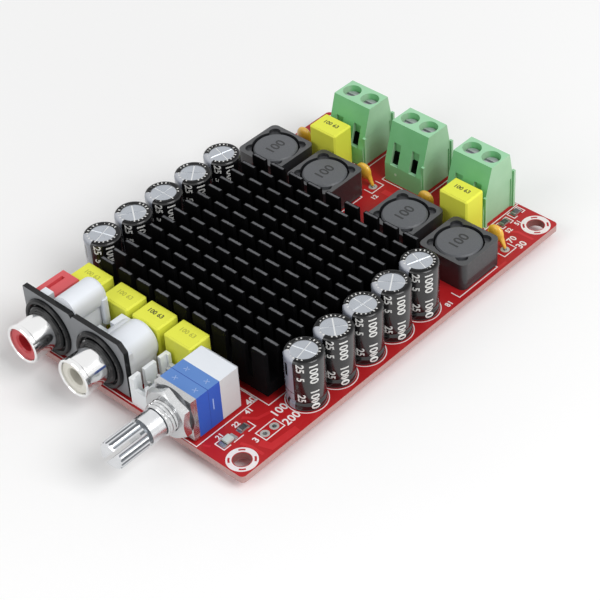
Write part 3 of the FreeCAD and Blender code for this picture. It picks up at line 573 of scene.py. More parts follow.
# Each look, with the CAD nodes that wear it
LOOKS = {
    "solder_mask": [solder_mask(), "circuit_board"],
    "track_mask": [tinted((140, "bd2529", "cb2f34"), (700, 0.14, 0.34), (3500, 0.004, 0.25),
                          coat=0.05, specular=0.25)],
    "white_ink": [printed("e2d9da", "f4efee")],
    "can_ink": [printed("c9cac8", "e8e8e5")],
    "faint_ink": [printed("b0b238", "c0c246")],
    "dark_ink": [printed("2c2d20", "55562c")],
    "pale_mark": [printed("8fa9da", "a9bfe6")],
    "engraved": [printed("242527", "343537")],
    "gate_green": [printed("a9dab4", "bfe6c7")],
    "black_anodised": [black_anodised(), "heatsink"],
    "steel": [plated("c4c2ca", 0.36, (900, 4000, 4000), 0.004, 0.86, 0.6), "heatsink_screws",
              *SCREWS],
    "brass": [plated("c8a55c", 0.30), "heatsink_spacers"],
    "pad_tin": [plated("d2cfca", 0.36, (1500, 1500, 1500), 0.006, 0.74, 0.35)],
    # Painted shade: the centre contacts are coloured dark grey for the shade deep in their bores.
    "painted_shade_contact": [plated("4a4643", 0.38), "phono_centre_contacts"],
    "chip_plastic": [moulded("1a1a1b", 0.5), "amplifier_chip"],
    "soft_pad": [moulded("9aa3ac", 0.7, 0.03), "thermal_pad"],
    "can_sleeve": [can_sleeve(), *CANS],
    "can_metal": [plated("b9bec5", 0.30, (1500, 1500, 1500), 0.004, 0.84)],
    "film_case": [moulded("e8eb50", 0.45, 0.012, 0.03, 0.0, 0.22), "film_capacitors"],
    "orange_dip": [tinted((700, "e6ac30", "f8c94a"), (1200, 0.15, 0.30), (1600, 0.030, 0.4),
                          coat=0.5), "ceramic_capacitors"],
    "bright_solder": [tinted((1200, "8f9192", "cfd0d0"), (2600, 0.25, 0.305),
                             (2400, 0.020, 0.5), metallic=1.0),
                      "component_leads", "terminal_contacts", "control_pins", "phono_pins",
                      "input_header_pins"],
    "ferrite": [ferrite(), *SHIELDS],
    "drum_top": [drum_top(), "inductor_cores"],
    "green_nylon": [green_nylon(), *HOUSINGS],
    "nickel": [plated("d3d4d5", 0.20, (3000, 600, 3000)), "control_bushing", "control_nut"],
    "cage_plate": [plated("dcdde0", 0.34, (3000, 600, 3000), 0.004, 0.86, 0.45), *CAGES],
    "zinc_plate": [plated("c9cacb", 0.26, (2500, 2500, 400)), "control_front_plate"],
    # The washer's dark colour: partly the lock washer's own, partly painted shade behind the nut.
    "dark_and_shaded_washer": [plated("55575a", 0.35), "control_washer"],
    "knurled_shaft": [knurled_shaft(), "control_shaft"],
    "blue_wafer": [blue_wafer(), "control_front_wafer", "control_rear_wafer"],
    "white_plastic": [white_plastic(), "control_rear_cover", "phono_body"],
    "header_white": [moulded("e9ecee", 0.40, 0.010, 0.02, 0.0, 0.35), "input_header"],
    "phono_black": [phono_black(), "phono_plate"],
    "chrome": [plated("f0f0f0", 0.12, (600, 600, 600), 0.001, 0.95), "phono_sleeve_left",
               "phono_sleeve_right"],
    "red_insert": [red_plastic(), "phono_insert_left"],
    "white_insert": [moulded("dedbd0", 0.35, 0.010, 0.03), "phono_insert_right"],
    "glazed_chip": [glazed_chip(), "surface_mount_parts"],
    "clear_lens": [moulded("c9d3cc", 0.12, 0.004, 0.05, 0.6)],
}
for name, (material, *nodes) in LOOKS.items():
    material.name = name
    for node in nodes:
        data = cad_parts[node].data
        data.materials.clear()
        data.materials.append(material)

# How far the sharp edges of CAD nodes are rounded, and in how many steps
EASED = (
    (0.09, 2, "heatsink"),
    (0.12, 2, *HOUSINGS, "control_front_wafer", "control_rear_wafer"),
    (0.15, 2, *SHIELDS, "inductor_cores"),
    (0.18, 3, "film_capacitors"),
    (0.22, 3, "control_rear_cover", "phono_body"),
    (0.25, 3, "control_front_plate"),
    (0.08, 2, "control_nut", "control_washer"),
    (0.10, 2, "phono_plate", "input_header"),
    (0.05, 1, "circuit_board"),
)
EASED_TURN = 35
for width, segments, *nodes in EASED:
    for name in nodes:
        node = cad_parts[name]
        rounding = node.modifiers.new("rounding", "BEVEL")
        rounding.width = width * MM
        rounding.segments = segments
        rounding.limit_method = "ANGLE"
        rounding.angle_limit = math.radians(EASED_TURN)
        rounding.harden_normals = True
        node.data.shade_smooth()


# Mesh helpers

SHARP_TURN = 40


def loop_of(mesh, points):
    """A row of points in a mesh."""
    return [mesh.verts.new(Vector(point) * MM) for point in points]


def bridge(mesh, first, second, closed):
    """Quads between two rows of points."""
    count = len(first)
    for index in range(count if closed else count - 1):
        after = (index + 1) % count
        mesh.faces.new((first[index], first[after], second[after], second[index]))


def capped(mesh, first, second):
    """A closed tube between two rings of points."""
    rings = [loop_of(mesh, points) for points in (first, second)]
    bridge(mesh, *rings, True)
    for points in rings:
        mesh.faces.new(points)


def ribbon(mesh, left, right, low, high, closed=False):
    """A thin raised strip between two rows of (x, y) points."""
    rows = []
    for line, height in ((left, low), (right, low), (right, high), (left, high)):
        rows.append(loop_of(mesh, [(x, y, height) for x, y in line]))
    for first, second in zip(rows, rows[1:] + rows[:1]):
        bridge(mesh, first, second, closed)
    if not closed:
        mesh.faces.new([row[0] for row in rows])
        mesh.faces.new([row[-1] for row in reversed(rows)])


def arc(x, y, radius, start, end, count):
    """Points on an arc; the angles are in degrees."""
    points = []
    for index in range(count + 1):
        angle = math.radians(start + (end - start) * index / count)
        points.append((x + radius * math.cos(angle), y + radius * math.sin(angle)))
    return points


def circle(x, y, radius, count):
    return arc(x, y, radius, 0, 360, count)[:-1]


def ring(mesh, x, y, inner, outer, low, high, count=48):
    ribbon(mesh, circle(x, y, inner, count), circle(x, y, outer, count), low, high, True)


def stroke(mesh, points, width, low, high, closed=False):
    """A thin raised line through (x, y) points, mitred at its corners."""
    places = [Vector(point) for point in points]
    runs = [(after - here).normalized() for here, after in zip(places, places[1:] + places[:1])]
    if not closed:
        runs[-1] = runs[-2]
    left = []
    right = []
    for index, here in enumerate(places):
        into = runs[index - 1] if closed or index else runs[0]
        out = runs[index]
        side = Vector((-into.y, into.x))
        mitre = (side + Vector((-out.y, out.x))).normalized()
        offset = mitre * (width / 2 / mitre.dot(side))
        left.append(here + offset)
        right.append(here - offset)
    ribbon(mesh, left, right, low, high, closed)


def slab(mesh, x0, x1, y0, y1, low, high):
    ribbon(mesh, [(x0, y0), (x0, y1)], [(x1, y0), (x1, y1)], low, high)


def in_scene(name, data):
    holder = bpy.data.objects.new(name, data)
    bpy.context.scene.collection.objects.link(holder)
    return holder


def piece(name, mesh, look, smooth=False):
    """A finished piece that rides on the board."""
    bmesh.ops.recalc_face_normals(mesh, faces=mesh.faces)
    data = bpy.data.meshes.new(name)
    mesh.to_mesh(data)
    mesh.free()
    if smooth:
        data.shade_smooth()
        data.set_sharp_from_angle(angle=math.radians(SHARP_TURN))
    data.materials.append(LOOKS[look][0])
    holder = in_scene(name, data)
    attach(holder, "board")
    return holder


# Figures: every number on the board is a plain one

INK = 0.025
SINK = 0.010
CAP_SHARE = 0.70
JOIN = 0.0005
ALONG_Y = ((0, 1, 0), (-1, 0, 0))
ALONG_X = ((1, 0, 0), (0, 1, 0))


@functools.cache
def flat_figures(text, size, weight, slices):
    """The points and faces of a short number, lying flat; kept for the next use.
    A number that is wrapped round a can is cut into slices of the given size."""
    curve = bpy.data.curves.new("figures", "FONT")
    curve.body = text
    curve.size = size
    curve.offset = weight
    curve.align_x = "CENTER"
    curve.align_y = "CENTER"
    curve.extrude = (INK + SINK) / 2
    curve.resolution_u = 3
    holder = bpy.data.objects.new("figures", curve)
    flat = bpy.data.meshes.new_from_object(holder)
    bpy.data.objects.remove(holder)
    bpy.data.curves.remove(curve)
    cut = bmesh.new()
    cut.from_mesh(flat)
    bpy.data.meshes.remove(flat)
    bmesh.ops.remove_doubles(cut, verts=cut.verts, dist=JOIN)
    if slices:
        for axis in (X, Y):
            reach = max(abs(vertex.co[axis]) for vertex in cut.verts)
            count = int(reach / slices)
            normal = Vector((1 - axis, axis, 0))
            for index in range(-count, count + 1):
                everything = cut.verts[:] + cut.edges[:] + cut.faces[:]
                bmesh.ops.bisect_plane(cut, geom=everything, plane_co=normal * index * slices,
                                       plane_no=normal)
    cut.verts.index_update()
    points = [vertex.co + Vector((0, 0, (INK - SINK) / 2)) for vertex in cut.verts]
    faces = [[vertex.index for vertex in face.verts] for face in cut.faces]
    cut.free()
    return points, faces


def figures(mesh, text, height, place, weight=0.0, slices=0.0):
    """Adds a number of a given height; place turns flat (x, y, z) into a spot on the part."""
    points, faces = flat_figures(text, height / CAP_SHARE, weight, slices)
    twins = loop_of(mesh, [place(point) for point in points])
    for face in faces:
        mesh.faces.new([twins[index] for index in face])


def on_plane(origin, along, up):
    """Places figures on a plane through origin, reading along one direction."""
    origin, along, up = map(Vector, (origin, along, up))
    out = along.cross(up)
    return lambda spot: origin + along * spot.x + up * spot.y + out * spot.z


def on_can(centre, turn, height):
    """Places figures on a can's sleeve so that they read downwards; turn in degrees from +X."""
    def place(spot):
        angle = math.radians(turn) + spot.y / can_radius
        level = height - spot.x
        radius = sleeve_reach(level) + spot.z
        return (centre.x + radius * math.cos(angle), centre.y + radius * math.sin(angle), level)
    return place


# The can's outline

CAN_SHOULDER = 0.75
CAN_LID = 2.70
CAN_LIP = 0.20
CAN_RECESS = 0.25
CAN_FOOT = 0.30
GROOVE_HEIGHT = 2.05
GROOVE_HALF = 0.75
GROOVE_DEPTH = 0.30
GROOVE_STEPS = 12
CORNER_STEPS = 8
CAN_SIDES = 72

# The sleeve's outside as (radius, height) points, from the foot to the crown
sleeve_points = arc(can_radius - CAN_FOOT, can_low.z + CAN_FOOT, CAN_FOOT, -90, 0, CORNER_STEPS)
for step in range(GROOVE_STEPS + 1):
    share = step / GROOVE_STEPS
    sleeve_points.append((can_radius - GROOVE_DEPTH * math.sin(math.pi * share) ** 2,
                          can_low.z + GROOVE_HEIGHT + GROOVE_HALF * (2 * share - 1)))
sleeve_points += arc(can_radius - CAN_SHOULDER, can_high.z - CAN_SHOULDER, CAN_SHOULDER,
                     0, 90, CORNER_STEPS)

# The whole can, from the axis underneath to the axis on top
lip = arc(CAN_LID + CAN_LIP, can_high.z - CAN_LIP, CAN_LIP, 90, 180, CORNER_STEPS // 2)
recess = can_high.z - CAN_RECESS
can_points = [(0, can_low.z)] + sleeve_points + lip + [(CAN_LID, recess), (0, recess)]


def sleeve_reach(height):
    """The sleeve's radius at a height."""
    for (inner, low), (outer, high) in zip(sleeve_points, sleeve_points[1:]):
        if low <= height <= high and high > low:
            return inner + (outer - inner) * (height - low) / (high - low)
    return sleeve_points[-1][0]


def turned(mesh, x, y, profile, sides):
    """A closed turned body; the profile's (radius, height) points run from axis to axis."""
    rings = []
    for radius, height in profile[1:-1]:
        rings.append(loop_of(mesh, [(px, py, height) for px, py in circle(x, y, radius, sides)]))
    for first, second in zip(rings, rings[1:]):
        bridge(mesh, first, second, True)
    for rim, height in ((rings[0], profile[0][1]), (rings[-1], profile[-1][1])):
        centre = mesh.verts.new(Vector((x, y, height)) * MM)
        for index in range(sides):
            mesh.faces.new((rim[index], rim[(index + 1) % sides], centre))


# Screen print and tracks on the board. Margins and brackets are measured from the parts they
# mark, other marks from the board's front edge, its middle or, by the chip parts, its back edge.

SILK_LINE = 0.22
SILK_WEIGHT = 0.05
SILK_EDGE = 0.25
SILK_LOW = board_top - SINK
SILK_HIGH = board_top + INK
HOLE_RINGS = ((1.98, 2.34), (2.76, 3.12))
HOLE_FILL = (2.30, 2.80)
FILL_TURN = 60
FILL_STEPS = 12
FILL_DROP = 0.003
CAN_RING = (0.16, 0.36)
CAN_RING_SIDES = 64
CONTROL_MARGINS = (0.7, 0.9, 0.30, 8.2)
INDUCTOR_BRACKET = (0.45, 1.7, 4.5, 2.2, 0.7)
FILM_MARGINS = (0.4, 0.25)
TERMINAL_MARGINS = (0.45, 0.25, 0.5)
DISC_BRACKET = (1.6, 3.9, 1.9)
CHIP_BRACKET = (1.0, 0.7, 1.75)
BACK_CHIPS = ((23.30, 2.65), (23.60, 6.95))
LINK_X = 27.7
LINK_INSETS = (11.0, 13.55)
LINK_BOX = (1.4, 9.9, 14.95)
FRONT_LINES = (
    ((jack_low.x, 0.55), (2.6, 0.55), (2.9, 1.1)),
    ((22.4, 4.7), (22.4, 3.0), (24.85, 3.0), (24.85, 4.8)),
    ((24.85, 5.6), (24.85, 8.2)),
    ((22.9, 11.3), (24.95, 11.3), (24.95, 9.4)),
)
# Each number with its height and place
FRONT_NUMBERS = (("21", 1.1, 21.7, 5.0), ("22", 1.1, 21.9, 9.2), ("3", 1.4, 27.6, 8.7),
                 ("100", 1.8, 25.5, 17.3), ("200", 1.8, 28.8, 17.2), ("40", 1.6, 19.6, 15.6),
                 ("41", 1.2, 21.2, 13.4))
BACK_NUMBERS = (("51", 1.1, 25.8, 42.6), ("52", 1.1, 25.9, 39.4), ("70", 1.5, 28.2, 37.4),
                ("30", 1.6, 30.8, 37.3), ("81", 1.2, 31.0, 13.5), ("9", 1.2, -4.6, 37.0),
                ("11", 1.1, 2.8, 30.4), ("12", 1.1, -3.4, 30.2), ("13", 1.1, -6.6, 38.6))


silk = bmesh.new()


def silk_line(points, closed=False):
    stroke(silk, points, SILK_LINE, SILK_LOW, SILK_HIGH, closed)


def silk_box(x0, x1, y0, y1):
    silk_line([(x0, y0), (x1, y0), (x1, y1), (x0, y1)], True)


# A broad ring round each mounting hole, with four red dashes in it
for x, y in hole_places:
    for inner, outer in HOLE_RINGS:
        ring(silk, x, y, inner, outer, SILK_LOW, SILK_HIGH)
    for quarter in range(4):
        start = quarter * 90 - FILL_TURN / 2
        edges = [arc(x, y, radius, start, start + FILL_TURN, FILL_STEPS) for radius in HOLE_FILL]
        ribbon(silk, *edges, SILK_LOW + FILL_DROP, SILK_HIGH - FILL_DROP)

# Outlines of the parts
inner, outer = [can_radius + margin for margin in CAN_RING]
for centre in cans:
    ring(silk, centre.x, centre.y, inner, outer, SILK_LOW, SILK_HIGH, CAN_RING_SIDES)
silk_box(sink_low.x, sink_high.x, sink_low.y, sink_high.y)
left, right, front, back = CONTROL_MARGINS
silk_box(plate_low.x - left, plate_high.x + right, board_front + front, second_high.y + back)
gap, ahead, behind, foot, hook = INDUCTOR_BRACKET
for centre in inductors:
    front = centre.y - inductor_half - ahead
    back = centre.y + behind
    for side in SIDES:
        edge = centre.x + side * (inductor_half + gap)
        if abs(edge) < board_high.x - SILK_EDGE:
            silk_line([(edge - side * foot, front), (edge, front), (edge, back),
                       (edge - side * hook, back)])
aside, ahead = FILM_MARGINS
for low, high in films:
    silk_box(low.x - aside, high.x + aside, low.y - ahead, high.y + ahead)
left, right, front = TERMINAL_MARGINS
for name in HOUSINGS:
    low, high = corners(name)
    silk_box(low.x - left, high.x + right, low.y - front, board_back - SILK_EDGE)
inner, outer, ahead = DISC_BRACKET
for centre in centres("ceramic_capacitors"):
    x, y = centre.xy
    for side in SIDES:
        silk_line([(x + side * inner, y + ahead), (x + side * outer, y + ahead),
                   (x + side * outer, y - ahead), (x + side * inner, y - ahead)])

# Lines and numbers by the light, the chip parts and the pads
for line in FRONT_LINES:
    silk_line([(x, board_front + y) for x, y in line])
half, near, far = LINK_BOX
silk_box(LINK_X - half, LINK_X + half, board_front + near, board_front + far)
half, near, far = CHIP_BRACKET
for x, inset in BACK_CHIPS:
    for side in SIDES:
        start = board_back - inset + side * near
        end = board_back - inset + side * far
        silk_line([(x - half, start), (x - half, end), (x + half, end), (x + half, start)])
for edge, numbers in ((board_front, FRONT_NUMBERS), (0.0, BACK_NUMBERS)):
    for text, size, x, y in numbers:
        figures(silk, text, size, on_plane((x, edge + y, board_top), *ALONG_Y), SILK_WEIGHT)
piece("silk_print", silk, "white_ink")

# Each track with its width, and its points past the front edge or the board's middle
TRACKS = (
    (1.6, board_front, ((28.6, 8.6), (31.0, 9.4), (31.4, 16.0))),
    (0.7, board_front, ((21.4, 11.2), (23.8, 13.0), (24.6, 16.4))),
    (0.7, board_front, ((25.9, 6.2), (28.2, 6.9), (31.2, 6.9))),
    (0.5, board_front, ((22.2, 2.0), (20.9, 1.4))),
    (1.4, 0.0, ((-3.4, 33.0), (1.2, 33.0), (4.2, 36.0))),
    (0.6, 0.0, ((30.9, 20.0), (31.7, 24.0), (31.7, 31.0))),
    (0.6, 0.0, ((25.4, 38.6), (27.6, 40.2), (31.6, 40.2))),
)
TRACK_HIGH = board_top + 0.015

tracks = bmesh.new()
for width, edge, points in TRACKS:
    stroke(tracks, [(x, edge + y) for x, y in points], width, SILK_LOW, TRACK_HIGH)
piece("copper_tracks", tracks, "track_mask")


# Solder: pads round the leads that show, link pads, and rings on the underside. Each pad has
# an inner and an outer radius.

PAD_SIDES = 24
LINK_SIDES = 32
PAD_UNDER = (board_under - 0.04, board_under + 0.01)
PAD_OVER = (board_top - 0.01, board_top + 0.04)
LINK_OVER = (board_top - 0.01, board_top + 0.06)
FILL_OVER = (board_top - 0.01, board_top + 0.03)
LEAD_PAD_UNDER = (0.35, 1.05)
LEAD_PAD_OVER = (0.38, 0.95)
PIN_PAD = (0.75, 1.25)
LINK_PAD = (0.48, 0.95)
LINK_FILL = (0.01, 0.50)

pads = bmesh.new()
fills = bmesh.new()
for centre in centres("component_leads"):
    ring(pads, centre.x, centre.y, *LEAD_PAD_UNDER, *PAD_UNDER, PAD_SIDES)
    ring(pads, centre.x, centre.y, *LEAD_PAD_OVER, *PAD_OVER, PAD_SIDES)
for node in ("terminal_contacts", "control_pins", "phono_pins", "input_header_pins"):
    for centre in centres(node):
        ring(pads, centre.x, centre.y, *PIN_PAD, *PAD_UNDER, PAD_SIDES)
for inset in LINK_INSETS:
    ring(pads, LINK_X, board_front + inset, *LINK_PAD, *LINK_OVER, LINK_SIDES)
    ring(fills, LINK_X, board_front + inset, *LINK_FILL, *FILL_OVER, LINK_SIDES)
piece("solder_pads", pads, "pad_tin")
piece("pad_fills", fills, "bright_solder")


# Chip parts and the light, each with tinned ends on its pads. Shares are of half a part's
# length; the light is the only part longer than LIGHT_LENGTH.

LIGHT_LENGTH = 2.5
LENS_FOOT = 0.34
LENS_SHARE = 0.56
BODY_SHARE = 0.70
SEAT = 0.01
END_DROP = 0.03
FILLET_REACH = 0.30
FILLET_SPREAD = 0.08
FILLET_HEIGHT = 0.09


def crossbar(mesh, low, high, start, end, bottom, top, spread=0.0):
    """A box across a chip part, between two distances from its middle."""
    y = (low.y + high.y) / 2
    slab(mesh, low.x - spread, high.x + spread, y + min(start, end), y + max(start, end), bottom, top)


bodies = bmesh.new()
ends = bmesh.new()
lens = bmesh.new()
for low, high in solids("surface_mount_parts"):
    half = (high.y - low.y) / 2
    inner = half * BODY_SHARE
    top = high.z
    if 2 * half > LIGHT_LENGTH:
        top = board_top + LENS_FOOT
        crossbar(lens, low, high, -half * LENS_SHARE, half * LENS_SHARE, top, high.z - SEAT)
    crossbar(bodies, low, high, -inner, inner, board_top + SEAT, top)
    for side in SIDES:
        crossbar(ends, low, high, side * inner, side * half, board_top + SEAT, top - END_DROP)
        crossbar(ends, low, high, side * inner, side * (half + FILLET_REACH), board_top - SEAT,
                 board_top + FILLET_HEIGHT, FILLET_SPREAD)
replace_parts(piece("chip_parts", bodies, "glazed_chip"), "surface_mount_parts")
piece("chip_part_ends", ends, "bright_solder")
piece("status_lens", lens, "clear_lens")


# Cans: turned bodies, four slices between the scored lines, and figures on the sleeves. Each
# figure has its text, height, turn in degrees and depth under the can's top.

SCORE = 0.30
SLICE_GAP = 0.06
SLICE_SINK = 0.02
SLICE_EDGE = 0.05
SLICE_MIDDLE = 0.14
SLICE_STEPS = 12
CROSS_TURN = 12
CROSS_STEP = 37
FIGURE_SLICE = 0.30
CAN_WEIGHT = 0.045
CAN_FIGURES = (("1000", 1.75, -22.6, 3.05), ("1000", 1.75, -22.6, 9.55), ("25", 1.50, -60.8, 1.55),
               ("5", 1.40, -60.8, 4.30), ("25", 1.50, -60.8, 9.20))


def scored_top(mesh, centre, turn):
    """Four slices of a can's top, each a little higher at the middle."""
    radius = CAN_LID - SLICE_GAP
    swing = math.degrees(math.asin(SCORE / 2 / radius))
    rises = [SLICE_MIDDLE] + [SLICE_EDGE] * (SLICE_STEPS + 1)
    for start in range(turn, turn + 360, 90):
        outline = arc(centre.x, centre.y, SCORE / math.sqrt(2), start + 45, start + 45, 1)[:1]
        outline += arc(centre.x, centre.y, radius, start + swing, start + 90 - swing, SLICE_STEPS)
        low = loop_of(mesh, [(x, y, recess - SLICE_SINK) for x, y in outline])
        high = loop_of(mesh, [(x, y, recess + rise) for (x, y), rise in zip(outline, rises)])
        bridge(mesh, low, high, True)
        mesh.faces.new(low)
        for index in range(1, len(high) - 1):
            mesh.faces.new((high[0], high[index], high[index + 1]))


tops = bmesh.new()
sleeve_print = bmesh.new()
for index, centre in enumerate(cans):
    body = bmesh.new()
    turned(body, centre.x, centre.y, can_points, CAN_SIDES)
    body_piece = piece("can_body_%d" % (index + 1), body, "can_sleeve", True)
    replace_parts(body_piece, CANS[index])
    scored_top(tops, centre, CROSS_TURN + CROSS_STEP * index)
    for text, height, turn, drop in CAN_FIGURES:
        place = on_can(centre, turn, can_high.z - drop)
        figures(sleeve_print, text, height, place, CAN_WEIGHT, FIGURE_SLICE)
piece("can_tops", tops, "can_metal")
piece("can_figures", sleeve_print, "can_ink")


# Dipped discs: a lens and two coated legs, run together and smoothed

DISC_RADIUS = 2.00
DISC_STEPS = 20
DISC_LEG_SPREAD = 1.05
DISC_LEG_ROOT = 0.74
DISC_LEG_TIP = 0.34
DISC_LEG_SIDES = 20
DISC_LEAD_HALF = 2.50
DISC_VOXEL = 0.13
DISC_SMOOTHING = 5


def rod(mesh, start, end, first, last, sides):
    """A closed tapered rod between two points."""
    start, end = map(Vector, (start, end))
    run = (end - start).normalized()
    across = run.orthogonal().normalized()
    over = run.cross(across)
    rings = []
    for centre, radius in ((start, first), (end, last)):
        rings.append([centre + across * x + over * y for x, y in circle(0, 0, radius, sides)])
    capped(mesh, *rings)


skins = bmesh.new()
for low, high in solids("ceramic_capacitors"):
    x, y = ((low + high) / 2).xy
    z = high.z - DISC_RADIUS
    lens_start = len(skins.verts)
    turned(skins, x, y, arc(0, z, DISC_RADIUS, -90, 90, DISC_STEPS), 2 * DISC_STEPS)
    skins.verts.ensure_lookup_table()
    squash = (high.y - low.y) / 2 / DISC_RADIUS
    for vertex in skins.verts[lens_start:]:
        vertex.co.y = y * MM + (vertex.co.y - y * MM) * squash
    for side in SIDES:
        rod(skins, (x + side * DISC_LEG_SPREAD, y, z), (x + side * DISC_LEAD_HALF, y, low.z),
            DISC_LEG_ROOT, DISC_LEG_TIP, DISC_LEG_SIDES)

# The closed forms are fused into one smooth skin
bmesh.ops.recalc_face_normals(skins, faces=skins.faces)
bmesh.ops.scale(skins, vec=(1 / MM, 1 / MM, 1 / MM), verts=skins.verts)
rough_skin = bpy.data.meshes.new("rough_skin")
skins.to_mesh(rough_skin)
skins.clear()
holder = in_scene("rough_skin", rough_skin)
remesh = holder.modifiers.new("remesh", "REMESH")
remesh.mode = "VOXEL"
remesh.voxel_size = DISC_VOXEL
smooth = holder.modifiers.new("smooth", "SMOOTH")
smooth.iterations = DISC_SMOOTHING
ready = holder.evaluated_get(bpy.context.evaluated_depsgraph_get())
skins.from_mesh(ready.to_mesh())
ready.to_mesh_clear()
bpy.data.objects.remove(holder)
bpy.data.meshes.remove(rough_skin)
bmesh.ops.scale(skins, vec=(MM, MM, MM), verts=skins.verts)
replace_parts(piece("dipped_discs", skins, "orange_dip", True), "ceramic_capacitors")


# Figures on the inductors and the film capacitors. The rear films' figures and those of one
# film in the front row are dark.

DRUM_FIGURES = ("100", 2.3)
DRUM_WEIGHT = 0.05
FILM_FIGURES = ("100 63", 1.05)
FILM_WEIGHT = 0.03
FILM_OFFSET = 0.3
DARK_FRONT_FILM = 2

engraving = bmesh.new()
for centre in inductors:
    figures(engraving, *DRUM_FIGURES, on_plane((centre.x, centre.y, core_top), *ALONG_Y), DRUM_WEIGHT)
piece("inductor_figures", engraving, "engraved")

faint = bmesh.new()
clear = bmesh.new()
front_row = [low.x for low, high in films if high.y < 0]
for low, high in films:
    centre = (low + high) / 2
    dark = centre.y > 0 or low.x == front_row[DARK_FRONT_FILM]
    figures(clear if dark else faint, *FILM_FIGURES,
            on_plane((centre.x, centre.y + FILM_OFFSET, high.z), *ALONG_X), FILM_WEIGHT)
piece("film_figures", faint, "faint_ink")
piece("film_dark_figures", clear, "dark_ink")


# Crosses and a short bar on the control's wafers, and a gate mark on the middle terminal

CROSS_OFFSETS = (-2.3, 3.0)
CROSS_ARMS = ((0.55, 0.28), (0.28, -0.55))
CROSS_LINE = 0.14
MARK_HEIGHT = 0.01
BAR_HALF = 0.12
BAR_HEIGHTS = (4.6, 7.3)
GATE_PLACE = (-2.9, 2.55)
GATE_RADIUS = 0.32
GATE_HEIGHT = 0.02
GATE_SIDES = 20

marks = bmesh.new()
for low, high in ((wafer_low, wafer_high), (second_low, second_high)):
    y = (low.y + high.y) / 2
    for offset in CROSS_OFFSETS:
        x = (low.x + high.x) / 2 + offset
        for dx, dy in CROSS_ARMS:
            stroke(marks, [(x - dx, y - dy), (x + dx, y + dy)], CROSS_LINE,
                   high.z - MARK_HEIGHT, high.z + MARK_HEIGHT)
bar_y = (wafer_high.y * 2 + second_high.y) / 3
slab(marks, wafer_high.x - MARK_HEIGHT, wafer_high.x + MARK_HEIGHT, bar_y - BAR_HALF, bar_y + BAR_HALF,
     *[board_top + height for height in BAR_HEIGHTS])
piece("wafer_marks", marks, "pale_mark")

gate = bmesh.new()
gate_x, gate_rise = GATE_PLACE
spots = circle(gate_x, board_top + gate_rise, GATE_RADIUS, GATE_SIDES)
rims = [[(x, terminal_front + depth, z) for x, z in spots] for depth in (GATE_HEIGHT, -GATE_HEIGHT)]
capped(gate, *rims)
piece("gate_mark", gate, "gate_green")


# The control's bush, with a helical thread round it and the bore of the CAD node

BUSH_SIDES = 64
BUSH_BEVEL = 0.40
THREAD_PITCH = 0.75
THREAD_DEPTH = 0.24
THREAD_STEP = 0.09


bush_radius = (bush_high.x - bush_low.x) / 2
spots = [vertex.co / MM - bush_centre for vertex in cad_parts["control_bushing"].data.vertices]
bore = min(math.hypot(spot.x, spot.z) for spot in spots)
thread = bmesh.new()


def rim(y, threaded):
    """One ring of the bush's points, in the bore or on the thread."""
    points = []
    for step in range(BUSH_SIDES):
        share = step / BUSH_SIDES
        radius = bore
        if threaded:
            depth = THREAD_DEPTH * abs(2 * ((y / THREAD_PITCH + share) % 1.0) - 1)
            radius = min(bush_radius - depth, bush_radius - BUSH_BEVEL + (y - bush_low.y))
        angle = 2 * math.pi * share
        points.append((bush_centre.x + radius * math.cos(angle), y,
                       bush_centre.z + radius * math.sin(angle)))
    return loop_of(thread, points)


length = bush_high.y - bush_low.y
rows = int(length / THREAD_STEP)
tube = [rim(y, False) for y in (bush_high.y, bush_low.y)]
tube += [rim(bush_low.y + length * row / rows, True) for row in range(rows + 1)]
for first, second in zip(tube, tube[1:] + tube[:1]):
    bridge(thread, first, second, True)
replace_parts(piece("threaded_bush", thread, "nickel", True), "control_bushing")


# Camera, light and floor, in metres; the lens and its sensor are in millimetres. The camera
# stands where the photo's did.

CAMERA_PLACE = (0.20958, -0.20444, 0.24930)
CAMERA_RIGHT = Vector((0.73304, 0.67815, -0.05263))
CAMERA_AHEAD = Vector((-0.53707, 0.52959, -0.65658))
LENS = 111.93
SENSOR = 36.0
WORLD_FILL = 0.46
LAMP_SIZE = 0.50
LAMPS = (("key", (0.60, 0.05, 0.62), 4.6), ("front", (-0.20, -0.70, 0.50), 1.6))
FLOOR_HALF = 1.5
FLOOR_GAP = 0.05 * MM
FLOOR_REACH = (0.06, 0.90)
FLOOR_GLOW = 0.55
FLOOR_WHITE = (0.98, 0.98, 0.98, 1.0)
WHITE = (1.0, 1.0, 1.0, 1.0)

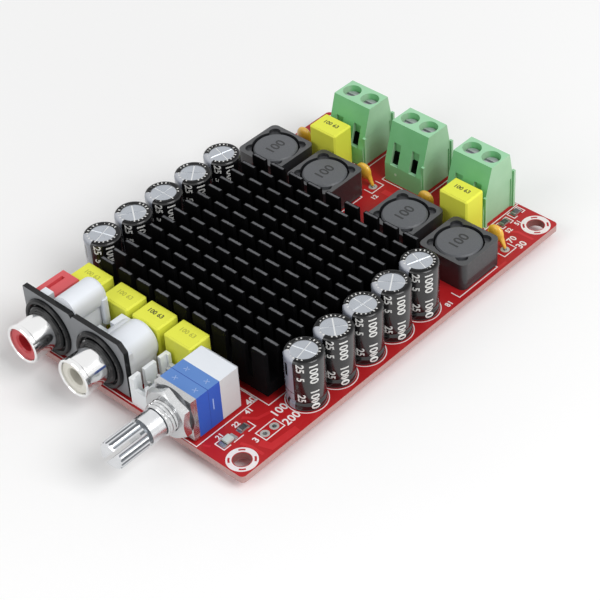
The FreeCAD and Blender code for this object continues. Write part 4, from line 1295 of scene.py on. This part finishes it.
ahead = CAMERA_AHEAD.normalized()
right = (CAMERA_RIGHT - CAMERA_RIGHT.dot(ahead) * ahead).normalized()
turn = Matrix((right, right.cross(ahead), -ahead)).transposed().to_4x4()
data = bpy.data.cameras.new("camera")
data.lens = LENS
data.sensor_width = SENSOR
camera = in_scene("camera", data)
camera.matrix_world = Matrix.Translation(CAMERA_PLACE) @ turn
bpy.context.scene.camera = camera

# Even fill light; white to the camera and in reflections
sky = bpy.data.worlds.new("studio")
bpy.context.scene.world = sky
studio = Nodes(sky)
rays = studio.add("ShaderNodeLightPath", {}).outputs
seen = studio.math("MAXIMUM", rays["Is Camera Ray"], rays["Is Glossy Ray"])
strength = studio.add("ShaderNodeMapRange", {"Value": seen, "To Min": WORLD_FILL})
background = studio.tree.nodes["Background"]
studio.put(WHITE, background.inputs["Color"])
studio.put(strength.outputs["Result"], background.inputs["Strength"])

# Soft square lamps that face the board
for name, place, power in LAMPS:
    data = bpy.data.lights.new(name, "AREA")
    data.shape = "SQUARE"
    data.size = LAMP_SIZE
    data.energy = power
    lamp = in_scene(name, data)
    lamp.rotation_euler = (-Vector(place)).to_track_quat("-Z", "Y").to_euler()
    lamp.location = place

# A plain pale floor under the lowest pin; it stays pale where the lamps don't reach
height = cad_box[0][Z] - FLOOR_GAP
data = bpy.data.meshes.new("floor")
data.from_pydata([(-FLOOR_HALF, -FLOOR_HALF, height), (FLOOR_HALF, -FLOOR_HALF, height),
                  (FLOOR_HALF, FLOOR_HALF, height), (-FLOOR_HALF, FLOOR_HALF, height)],
                 [], [(0, 1, 2, 3)])
look = Finish(roughness=0.9, specular=0.0)
look.material.name = "pale_floor"
distance = look.add("ShaderNodeVectorMath", {0: look.place}, operation="LENGTH")
far = look.steps(distance.outputs["Value"], *FLOOR_REACH)
look.set("Emission Color", WHITE)
look.set("Emission Strength", look.product(far, FLOOR_GLOW))
data.materials.append(look.done(FLOOR_WHITE))
in_scene("floor", data)

bpy.context.scene.view_settings.view_transform = "Standard"
